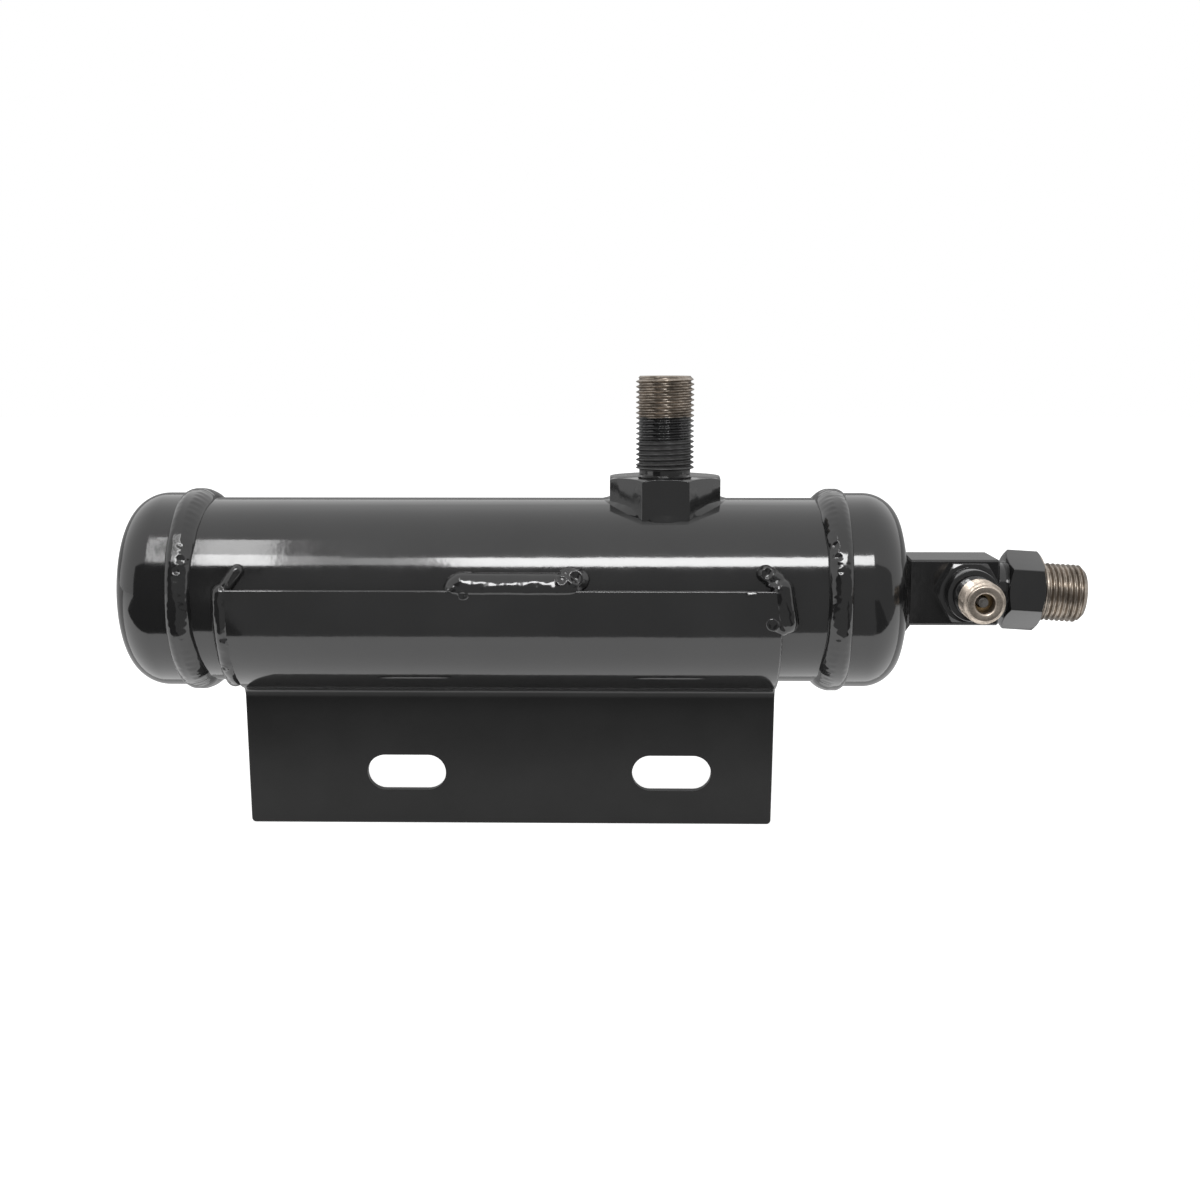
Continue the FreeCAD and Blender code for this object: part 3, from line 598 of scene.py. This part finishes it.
# The grey wall behind the vessel, and a dim card on the table under it, seen only in reflections, which
# paints the floor's shade there
ROOM_BACK = 0.95
ROOM_SIDE = 2.2
BACK_TOP = math.radians(22.0)
BACK_LEVEL = 0.32
UNDER_SHADE_LEVEL = 0.5
CARD_LIFT = 0.2 * MM


def make_studio():
    make_world()
    make_floor()
    z = cad_low.z + CARD_LIFT
    front_top = vessel.z + (vessel.y - ROOM_FRONT) * math.tan(FRONT_TOP)
    back_top = vessel.z + (ROOM_BACK - vessel.y) * math.tan(BACK_TOP)
    for index, (table_level, wall_level) in enumerate(zip(TABLE_LEVELS, WALL_LEVELS)):
        near, far = TABLE_EDGES[index:index + 2], ROOM_EDGES[index:index + 2]
        card(f"front_table_{index}", near, far, (TABLE_FRONT, z), (ROOM_FRONT, z), table_level)
        card(f"front_wall_{index}", far, far, (ROOM_FRONT, z), (ROOM_FRONT, front_top), wall_level)
    side = (-ROOM_SIDE, ROOM_SIDE)
    # Painted shade: a dim card over the floor behind the vessel, seen only in reflections, in place of the
    # floor's shadow there
    card("back_table_shade", side, side, (vessel.y + shell_radius, z), (ROOM_BACK, z), UNDER_SHADE_LEVEL)
    card("back_wall", side, side, (ROOM_BACK, z), (ROOM_BACK, back_top), BACK_LEVEL)
    for name, (x_span, angles, glow, tilt) in LAMPS.items():
        panel(name, x_span, angles, glow, tilt)


# The pieces

# Measures that the frame doesn't give: they are the same as in the part's source
INCH = 25.4 * MM
STUD_PITCH = INCH / 18
STUD_RADIUS = 7.9375 * MM
STUD_BORE = 4.6 * MM
STUD_NECK = 7.0 * MM
STUD_BARE_FROM = 47.6 * MM
STUD_MATTE = (33.0 * MM, 41.2 * MM)
SPIGOT_RADIUS = 7.4 * MM
COLLAR_SIDES = 8
COLLAR_TURN = math.radians(22.5)
COLLAR_RISE = 6.1 * MM
COLLAR_EDGE = 0.6 * MM
COLLAR_ROUND = 0.45 * MM
CONNECTOR_DROOP = math.radians(3.5)
CONNECTOR_FLATS = 19.05 * MM
CONNECTOR_TURN = math.radians(-7.0)
CONNECTOR_BARE_FROM = 12.7 * MM
PORT_PITCH = INCH / 20
PORT_RADIUS = 5.55625 * MM
PORT_FLATS = 15.875 * MM
PORT_BARE_FROM = 13.6 * MM
PORT_BRIGHT = 1.45
THREAD_RUN_OUT = 0.9 * MM
MOUTH = 0.5 * MM
HEXAGON = 6
# The number of even angles round each fitting, and the spread of the extra ones at a corner
COLLAR_ANGLES = (192, math.radians(1.1))
CONNECTOR_ANGLES = (168, math.radians(1.2))
PORT_ANGLES = (144, math.radians(1.2))
# Where the rings on the tube lie between the spigot and the collar's sides
SEAT_SHARES = (0.0, 0.35, 0.7, 1.0)


def make_inlet_fitting(material):
    base = Vector((stud_place, vessel.y, vessel.z))
    angles = corner_angles(COLLAR_SIDES, COLLAR_TURN, *COLLAR_ANGLES)
    side = polygon_radius(angles, collar_flats, COLLAR_SIDES, COLLAR_TURN, COLLAR_ROUND)
    foot, top = fitting_low.z - vessel.z, fitting_high.z - vessel.z
    collar_top = shell_radius + COLLAR_RISE
    neck_start, neck_end = collar_top + 0.3 * MM, collar_top + 1.9 * MM
    neck_foot, thread_start, chamfer = STUD_NECK + 0.5 * MM, collar_top + 2.2 * MM, 1.1 * MM

    def on_shell(radius):
        return np.sqrt(shell_radius ** 2 - (radius * np.sin(angles)) ** 2)

    stations = [(foot, STUD_BORE), (foot, SPIGOT_RADIUS)]
    for share in SEAT_SHARES:
        radius = SPIGOT_RADIUS + (side - SPIGOT_RADIUS) * share
        stations.append((on_shell(radius), radius))
    # The upper half of a nut: the collar's foot follows the tube instead
    stations += nut_stations(shell_radius, collar_top, angles, collar_flats, COLLAR_SIDES, COLLAR_TURN, 0,
                             neck_foot, (COLLAR_EDGE, COLLAR_EDGE), COLLAR_ROUND)[5:]
    stations += [(neck_start, STUD_NECK), (neck_end, STUD_NECK)]
    stations += thread_stations(thread_start, top, angles, STUD_RADIUS, STUD_PITCH, chamfer, THREAD_RUN_OUT)
    stations += [(top, STUD_BORE + MOUTH), (top - MOUTH, STUD_BORE)]
    turned("inlet_fitting_detail", stations, angles, base, (0, 0, 1), (1, 0, 0), material,
           "inlet_fitting")


def connector_base():
    return Vector((block_high.x, vessel.y, (block_low.z + block_high.z) / 2))


def make_outlet_connector(material):
    along = Vector((math.cos(CONNECTOR_DROOP), 0, -math.sin(CONNECTOR_DROOP)))
    down = Vector((-math.sin(CONNECTOR_DROOP), 0, -math.cos(CONNECTOR_DROOP)))
    angles = corner_angles(HEXAGON, CONNECTOR_TURN, *CONNECTOR_ANGLES)
    start, shoulder, hex_start, hex_end = -3.8 * MM, 0.1 * MM, 2.6 * MM, 12.5 * MM
    neck_end, thread_start, end = 12.8 * MM, 13.1 * MM, 24.6 * MM
    hex_chamfer, hex_round, chamfer = 0.9 * MM, 0.35 * MM, 1.5 * MM
    bore, shank, neck, flange, soft = 4.0 * MM, 5.0 * MM, 6.9 * MM, 7.4 * MM, 0.2 * MM
    stations = [(start, bore), (start, shank), (shoulder, shank), (shoulder, flange - soft),
                (shoulder + soft, flange), (hex_start, flange)]
    stations += nut_stations(hex_start, hex_end, angles, CONNECTOR_FLATS, HEXAGON, CONNECTOR_TURN, flange,
                             neck, (hex_chamfer, hex_chamfer), hex_round)
    stations += [(neck_end, neck)]
    stations += thread_stations(thread_start, end, angles, STUD_RADIUS, STUD_PITCH, chamfer, THREAD_RUN_OUT)
    stations += [(end, bore + MOUTH), (end - MOUTH, bore)]
    turned("outlet_connector_detail", stations, angles, connector_base(), along, down, material,
           "outlet_connector")


def port_base():
    middle = (port_low + port_high) / 2
    return Vector((middle.x, block_low.y, middle.z))


def make_service_port(material):
    reach = block_low.y - port_low.y
    angles = corner_angles(HEXAGON, 0.0, *PORT_ANGLES)
    shank_end, hex_end, shoulder_end = -4.6 * MM, 3.0 * MM, 8.0 * MM
    hex_chamfers, hex_round, blend = (0.3 * MM, 0.6 * MM), 0.3 * MM, 0.3 * MM
    neck_end, thread_start, run_out = shoulder_end + 1.0 * MM, shoulder_end + 1.2 * MM, 0.8 * MM
    neck, shank, shoulder, edge, soft = 4.9 * MM, 4.5 * MM, 7.0 * MM, 0.4 * MM, 0.12 * MM
    bore, passage, bore_depth = 2.5 * MM, 1.7 * MM, 15.5 * MM
    outer_lip, inner_lip, lip_steps = 0.5 * MM, 0.8 * MM, 6
    chamfer = 1.3 * MM - outer_lip
    stations = [(shank_end, passage), (shank_end, shank), (0, shank)]
    stations += nut_stations(0, hex_end, angles, PORT_FLATS, HEXAGON, 0.0, shank, shoulder, hex_chamfers,
                             hex_round)[1:]
    stations += [(shoulder_end - edge, shoulder), (shoulder_end - soft, shoulder - soft),
                 (shoulder_end, shoulder - edge), (shoulder_end, neck + blend),
                 (shoulder_end + blend, neck), (neck_end, neck)]
    stations += thread_stations(thread_start, reach - outer_lip, angles, PORT_RADIUS, PORT_PITCH, chamfer,
                                run_out)
    # The nose is rounded over its outer and its inner edge
    quarter = [math.pi / 2 * index / lip_steps for index in range(1, lip_steps + 1)]
    rim = PORT_RADIUS - chamfer - outer_lip
    stations += [(reach - outer_lip * (1 - math.sin(a)), rim + outer_lip * math.cos(a)) for a in quarter]
    stations += [(reach - inner_lip * (1 - math.cos(a)), bore + inner_lip * (1 - math.sin(a)))
                 for a in quarter]
    stations += [(reach - bore_depth, bore), (reach - bore_depth, passage)]
    turned("service_port_detail", stations, angles, port_base(), (0, -1, 0), (1, 0, 0), material,
           "service_port_body")


# Weld beads

# The steps between the noise fields of one seed and the next
SEED_STEPS = (7.3, 3.1, 5.7)
# A crater's widths of rim and dip as shares of its radius, and the dip's depth as a share of its rim
CRATER_RIM = 0.32
CRATER_DIP = 0.62
CRATER_DEPTH = 1.1


def lumps(points, size, amount, seed):
    # Rounded random lumps of a given size and height, at a list of places
    shift = Vector([seed * step for step in SEED_STEPS])
    return np.array([noise.noise(Vector(p) / size + shift) for p in points]) * amount


def hill(value, middle, spread):
    # One at the middle, falling off softly over the spread
    return np.exp(-((value - middle) / spread) ** 2)


def crater(across, along, place, radius, rim):
    # The raised ring and the dip where a bead was stopped
    away = np.hypot(across - place[0], along - place[1]) / radius
    return rim * hill(away, 1, CRATER_RIM) - CRATER_DEPTH * rim * hill(away, 0, CRATER_DIP)


# A ring bead: its angles and rings, how far its two edges and its crest lie inside the solid that it
# replaces, its crown, its ripples, the size and height of its lumps, and where its edges and underside lie
RING_COUNT = 640
RING_STEPS = 30
TOE_INSET = 2.3 * MM
FAR_INSET = 0.7 * MM
CREST_GAP = 0.01 * MM
CROWN_LIFT = 0.05 * MM
CROWN_SHAPE = 0.7
RIPPLE = 0.03 * MM
RIPPLES_ROUND = 78
RIPPLE_BOW = 2.0
TOE_LUMPS = (5.0 * MM, 0.35 * MM)
END_LUMPS = (9.0 * MM, 0.25 * MM)
COARSE_LUMPS = (4.5 * MM, 0.16 * MM)
FINE_LUMPS = (1.7 * MM, 0.05 * MM)
LUMPS_SUNK = 0.06 * MM
BUSY_GAIN = 1.6
EDGE_BURIED = 0.25 * MM
UNDER_INSET = 0.5 * MM
UNDER_LIFT = 0.1 * MM
# Middle and spread in degrees above the level, of the bead's narrow front and of its busy part
NARROW = (5, 65)
BUSY = (24, 16)
# The curls where a ring bead starts and ends: degrees above the level, distance from the vessel's middle,
# radius and rim
LEFT_CURLS = ((32.0, 86.9 * MM, 1.1 * MM, 0.22 * MM), (24.0, 86.2 * MM, 1.3 * MM, 0.3 * MM),
              (17.5, 87.0 * MM, 1.0 * MM, 0.22 * MM))
RIGHT_CURLS = ((33.0, 85.9 * MM, 1.2 * MM, 0.22 * MM), (26.0, 86.5 * MM, 1.2 * MM, 0.28 * MM),
               (18.0, 87.0 * MM, 1.0 * MM, 0.22 * MM))


def make_cap_weld(name, node, side, curls, material, seed):
    # A ring bead, narrower at the front, where its start and its end overlap in small curls
    low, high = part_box(node)
    near = min(abs(low.x - vessel.x), abs(high.x - vessel.x))
    far = max(abs(low.x - vessel.x), abs(high.x - vessel.x))
    turn = np.arange(RING_COUNT) * 2 * math.pi / RING_COUNT
    degrees = (np.degrees(turn) + 180) % 360 - 180
    place = [Vector((vessel.x + side * near, -shell_radius * math.cos(a), shell_radius * math.sin(a)))
             for a in turn]
    toe = near + TOE_INSET * hill(degrees, *NARROW) + lumps(place, *TOE_LUMPS, seed)
    end = far - FAR_INSET + lumps(place, *END_LUMPS, seed + 1)
    crown = cap_weld_crest - (shell_radius + cap_radius) / 2 + CROWN_LIFT
    busy = 1 + BUSY_GAIN * hill(degrees, *BUSY)
    rows = []
    for index in range(RING_STEPS + 1):
        share = (1 - math.cos(math.pi * index / RING_STEPS)) / 2
        across = toe + (end - toe) * share
        base = np.full(RING_COUNT, shell_radius + (cap_radius - shell_radius) * share)
        radius = base + crown * (1 - (2 * share - 1) ** 2) ** CROWN_SHAPE
        here = [Vector((side * a, -r * math.cos(t), r * math.sin(t)))
                for a, r, t in zip(across, radius, turn)]
        rough = lumps(here, *COARSE_LUMPS, seed + 2) + lumps(here, *FINE_LUMPS, seed + 3)
        ripple = RIPPLE * np.sin(turn * RIPPLES_ROUND + RIPPLE_BOW * (2 * share - 1) ** 2)
        radius = radius + ((rough - LUMPS_SUNK) * busy + ripple) * 4 * share * (1 - share)
        for angle, distance, size, rim in curls:
            radius = radius + crater(across, np.radians(degrees) * shell_radius,
                                     (distance, math.radians(angle) * shell_radius), size, rim)
        buried = EDGE_BURIED if index in (0, RING_STEPS) else 0.0
        rows.append((across, np.minimum(radius, cap_weld_crest - CREST_GAP) - buried))
    rows.append((end - UNDER_INSET, np.full(RING_COUNT, shell_radius + UNDER_LIFT)))
    points = []
    for across, radius in rows:
        points.append(np.stack([vessel.x + side * across, vessel.y - radius * np.cos(turn),
                                vessel.z + radius * np.sin(turn)], 1))
    faces = grid_faces(len(rows), RING_COUNT, True, True)
    if side > 0:
        faces = [face[::-1] for face in faces]
    add_piece(name, np.concatenate(points), faces, material, node, crease=WELD_CREASE)


def arc(degrees):
    return math.radians(degrees) * shell_radius


def capsule(across, along, start, end, reach_up, reach_down, height):
    # A crowned bead along a line, with different reaches above and below it
    start, end = np.array(start), np.array(end)
    span = end - start
    share = np.clip(((across - start[0]) * span[0] + (along - start[1]) * span[1]) / (span @ span), 0, 1)
    right, up = across - start[0] - share * span[0], along - start[1] - share * span[1]
    reach = np.where(up > 0, reach_up, reach_down)
    inside = 1 - (right / max(reach_up, reach_down)) ** 2 - (up / reach) ** 2
    return height * np.sqrt(np.maximum(inside, 0))


def ledge(across, along, path, half, crest, lean):
    # A narrow flat along a path, which leans up towards the lamps
    places = [place for place, height in path]
    up = along - np.interp(across, places, [height for place, height in path])
    fade = 1 - smooth_step(half * 0.8, half * 1.2, np.abs(up))
    start = smooth_step(places[0] - half, places[0], across)
    end = smooth_step(-places[-1] - half, -places[-1], -across)
    return (crest - lean * up) * fade * start * end


# A stitch bead: the step of its grid, the height below which it counts as tube, how deep that part and its
# underside lie in the tube, how far it may rise over the saddle, and the size and height of its lumps
STITCH_GRID = 0.22 * MM
STITCH_LEAST = 0.02 * MM
STITCH_BURIED = 0.3 * MM
STITCH_DEPTH = 0.5 * MM
STITCH_RISE = 1.0 * MM
STITCH_COARSE = (2.6 * MM, 0.18 * MM)
STITCH_FINE = (1.2 * MM, 0.06 * MM)
RIGHT_EDGE = bracket_high.x / MM
# The stitch beads. A place is (mm from the edge, degrees above the level), and other lengths are in mm.
# A line is (start, end, reach above, reach below, height), a crater is (place, radius, rim) and a ledge is
# (path, half its width, crest, lean).
STITCHES = (
    {
        "node": "bracket_weld_left", "edge": bracket_low.x, "seed": 21,
        "x_span": (-4.5, 6.5), "angle_span": (-74, 24),
        "lines": (((-0.9, -62), (-0.7, 5), 2.7, 2.7, 3.0),
                  ((0.3, 8.5), (3.5, 18.5), 1.9, 1.9, 2.1)),
        "craters": (((1.0, -22.8), 0.8, 0.25), ((-1.6, -40.8), 0.8, 0.25)),
        "ledges": ((((0.6, 8.5), (3.2, 18.5)), 0.9, 2.2, 0.34),),
    },
    {
        "node": "bracket_weld_centre", "edge": 0.0, "seed": 31,
        "x_span": (-24.5, 16.5), "angle_span": (-1, 25),
        "lines": (((-19.0, 7.4), (8.6, 7.4), 4.6, 1.7, 3.1),
                  ((-18.6, 8.8), (-10.0, 7.8), 4.2, 2.0, 3.1),
                  ((-18.6, 4.4), (-17.6, 4.4), 1.7, 1.7, 2.9),
                  ((9.6, 14.5), (11.6, 14.0), 3.2, 3.2, 1.9)),
        "craters": (((11.2, 14.6), 1.7, 0.45), ((7.6, 13.2), 1.2, 0.25), ((-18.3, 4.6), 1.0, 0.2)),
        "ledges": ((((-22.3, 7.6), (-18.4, 12.5), (-11.9, 10.6), (3.2, 10.7), (8.5, 7.9)),
                    0.6, 2.85, 0.33),),
    },
    {
        "node": "bracket_weld_right", "edge": bracket_high.x, "seed": 41,
        "x_span": (-13.5, 5.5), "angle_span": (-24, 25),
        "lines": (((-0.2, 8), (1.2, -11), 3.1, 3.1, 3.2),
                  ((-4.6, 17.5), (-1.5, 13), 2.4, 2.4, 2.3),
                  ((-3.0, -11), (0.0, -14), 2.4, 2.4, 2.95)),
        "craters": (((-4.2, 16.8), 1.5, 0.4), ((-2.9, -11), 1.4, 0.35), ((-1.8, 9.5), 1.0, 0.3)),
        "ledges": ((((61.4 - RIGHT_EDGE, 11.4), (64.4 - RIGHT_EDGE, 8.8)), 0.7, 3.0, 0.34),
                   (((55.8 - RIGHT_EDGE, 6.2), (58.4 - RIGHT_EDGE, 6.2)), 0.6, 2.95, 0.36)),
    },
)


def stitch_height(stitch, across, along):
    def at(place):
        return stitch["edge"] + place[0] * MM, arc(place[1])

    whole = np.zeros(len(across))
    for start, end, above, below, height in stitch["lines"]:
        line = capsule(across, along, at(start), at(end), above * MM, below * MM, height * MM)
        whole = np.maximum(whole, line)
    rings = sum(crater(across, along, at(place), radius * MM, rim * MM)
                for place, radius, rim in stitch["craters"])
    whole = whole + rings * (whole > 0)
    for path, half, crest, lean in stitch["ledges"]:
        whole = np.maximum(whole, ledge(across, along, [at(place) for place in path], half * MM, crest * MM,
                                        lean))
    return whole


def make_stitch(stitch, material):
    # A bead on the saddle's edge: a patch laid round the tube, sunk into it where there is no bead
    node, seed = stitch["node"], stitch["seed"]
    x_span = [stitch["edge"] + place * MM for place in stitch["x_span"]]
    angle_span = [arc(angle) for angle in stitch["angle_span"]]
    columns = int((x_span[1] - x_span[0]) / STITCH_GRID) + 1
    lines = int((angle_span[1] - angle_span[0]) / STITCH_GRID) + 1
    across, along = np.meshgrid(np.linspace(*x_span, columns), np.linspace(*angle_span, lines))
    across, along = across.ravel(), along.ravel()
    turn = along / shell_radius
    here = [Vector((a, b, 0)) for a, b in zip(across, along)]
    height = stitch_height(stitch, across, along)
    rough = lumps(here, *STITCH_COARSE, seed) + lumps(here, *STITCH_FINE, seed + 1)
    height = height + rough * np.clip(height / MM, 0, 1)
    limit = saddle_radius - shell_radius + STITCH_RISE
    height = np.where(height > STITCH_LEAST, np.minimum(height, limit), -STITCH_BURIED)

    def laid(radius):
        return np.stack([across, vessel.y - radius * np.cos(turn), vessel.z + radius * np.sin(turn)], 1)

    top = laid(shell_radius + height)
    floor = laid(np.full(len(height), shell_radius - STITCH_DEPTH))
    count = lines * columns
    faces = [face[::-1] for face in grid_faces(lines, columns, False, False)]
    faces += [tuple(count + i for i in face[::-1]) for face in faces]
    rim = list(range(columns)) + [i * columns + columns - 1 for i in range(1, lines)]
    rim += [(lines - 1) * columns + j for j in range(columns - 2, -1, -1)]
    rim += [i * columns for i in range(lines - 2, 0, -1)]
    for first, second in zip(rim, rim[1:] + rim[:1]):
        faces.append((first, second, count + second, count + first)[::-1])
    add_piece(node + "_detail", np.concatenate([top, floor]), faces, material, node,
              crease=WELD_CREASE)


# The collar's bead: its angles and rings, its ripples, its lumps, its height at the sides and what the
# front and back add, how much narrower they are, and how far its edges lie inside the solid that it
# replaces and under the collar
COLLAR_BEAD_COUNT = 320
COLLAR_BEAD_STEPS = 16
COLLAR_RIPPLE = 0.04 * MM
COLLAR_RIPPLES_ROUND = 34
COLLAR_RIM_LUMPS = (4.0 * MM, 0.2 * MM)
COLLAR_LUMPS = (2.4 * MM, 0.2 * MM)
COLLAR_LOW = 0.5 * MM
COLLAR_TALL = 1.5 * MM
COLLAR_NARROWER = 1.5 * MM
COLLAR_STEEPNESS = 1.5
COLLAR_RIM_INSET = 0.25 * MM
COLLAR_UNDER = 0.4 * MM
COLLAR_BURIED = 0.3 * MM
COLLAR_DEPTH = 0.5 * MM


def make_inlet_weld(material, seed):
    # A bead round the collar's foot, tall and steep at the front and back, low and broad at the sides
    count = COLLAR_BEAD_COUNT
    angles = np.arange(count) * 2 * math.pi / count
    outward = [Vector((math.cos(a), math.sin(a), 0)) for a in angles]
    inner = polygon_radius(angles, collar_flats, COLLAR_SIDES, COLLAR_TURN, COLLAR_ROUND) - COLLAR_UNDER
    outer = (inlet_weld_high.x - inlet_weld_low.x) / 2
    steep = np.abs(np.sin(angles)) ** COLLAR_STEEPNESS
    rim = outer - COLLAR_RIM_INSET - COLLAR_NARROWER * steep
    rim = rim + lumps([place * outer for place in outward], *COLLAR_RIM_LUMPS, seed)
    tall = COLLAR_LOW + COLLAR_TALL * steep
    ripple = COLLAR_RIPPLE * np.sin(angles * COLLAR_RIPPLES_ROUND)
    rows = []
    for index in range(COLLAR_BEAD_STEPS):
        share = index / COLLAR_BEAD_STEPS
        radius = inner + (rim - inner) * share
        here = [place * r for place, r in zip(outward, radius)]
        rough = lumps(here, *COLLAR_LUMPS, seed + 1) + ripple
        rows.append((radius, shell_radius + (tall + rough) * (1 - share)))
    rows.append((rim, np.full(count, shell_radius - COLLAR_BURIED)))
    under = np.full(count, shell_radius - COLLAR_DEPTH)
    rows += [(rim - COLLAR_BURIED, under), (inner, under)]
    points = []
    for radius, level in rows:
        y = radius * np.sin(angles)
        points.append(np.stack([stud_place + radius * np.cos(angles), vessel.y + y,
                                vessel.z + np.sqrt(level ** 2 - y ** 2)], 1))
    add_piece("inlet_weld_detail", np.concatenate(points), grid_faces(len(rows), count, True, True), material,
              "inlet_weld", crease=WELD_CREASE)


# Materials of nodes that keep their own mesh: colour, roughness, depth of grain in mm, scale of the
# pattern, and the nodes
METALS = {
    "washer_alloy": ((0.34, 0.34, 0.34), 0.45, 0.01, 300.0, ("connector_washer",)),
    "valve_brass": ((0.34, 0.25, 0.14), 0.38, 0.01, 500.0, ("valve_core_body",)),
    "valve_steel": ((0.5, 0.48, 0.46), 0.25, 0.005, 500.0, ("valve_pin",)),
    "spring_steel": ((0.5, 0.5, 0.5), 0.3, 0.01, 400.0, ("valve_spring", "bed_spring")),
    "drawn_alloy": ((0.75, 0.75, 0.76), 0.35, 0.01, 200.0, ("pickup_tube", "pickup_strainer")),
    "pressed_steel": ((0.55, 0.55, 0.56), 0.4, 0.01, 200.0,
                      ("left_retainer_plate", "right_retainer_plate", "bed_stop_ring")),
}
SOFTS = {
    "seal_rubber": ((0.02, 0.02, 0.02), 0.5, 0.02, 400.0,
                    ("port_seal", "valve_core_seal", "valve_pin_seal")),
    "filter_felt": ((0.85, 0.83, 0.78), 0.9, 0.2, 900.0, ("left_filter_pad", "right_filter_pad")),
}


def use_material(material, *nodes):
    for node in nodes:
        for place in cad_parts[node].material_slots:
            place.material = material


def make_pieces():
    black = enamel("gloss_black_enamel")
    welds = enamel("gloss_black_weld", WELD_PEEL)
    use_material(black, "shell_tube", "left_end_cap", "right_end_cap", "outlet_block", "block_weld")
    use_material(bracket_enamel("bracket_enamel"), "mounting_bracket")
    make_inlet_fitting(masked_fitting("masked_stud", (0, 0, vessel.z), (0, 0, 1), STUD_BARE_FROM,
                                      STUD_MATTE))
    make_outlet_connector(masked_fitting("masked_connector", connector_base(), (1, 0, 0),
                                         CONNECTOR_BARE_FROM))
    make_service_port(masked_fitting("masked_port", port_base(), (0, -1, 0), PORT_BARE_FROM,
                                     bright=PORT_BRIGHT))
    make_cap_weld("left_cap_weld_detail", "left_cap_weld", -1, LEFT_CURLS, welds, seed=1)
    make_cap_weld("right_cap_weld_detail", "right_cap_weld", 1, RIGHT_CURLS, welds, seed=11)
    for stitch in STITCHES:
        make_stitch(stitch, welds)
    make_inlet_weld(welds, seed=51)
    for kind, table in ((plain_metal, METALS), (plain_soft, SOFTS)):
        for name, (colour, rough, grain, scale, nodes) in table.items():
            use_material(kind(name, colour, rough, grain * MM, scale), *nodes)
    use_material(bead_bed("desiccant_beads"), "desiccant_bed")


make_camera()
make_studio()
make_pieces()
bpy.context.scene.view_settings.view_transform = "Standard"
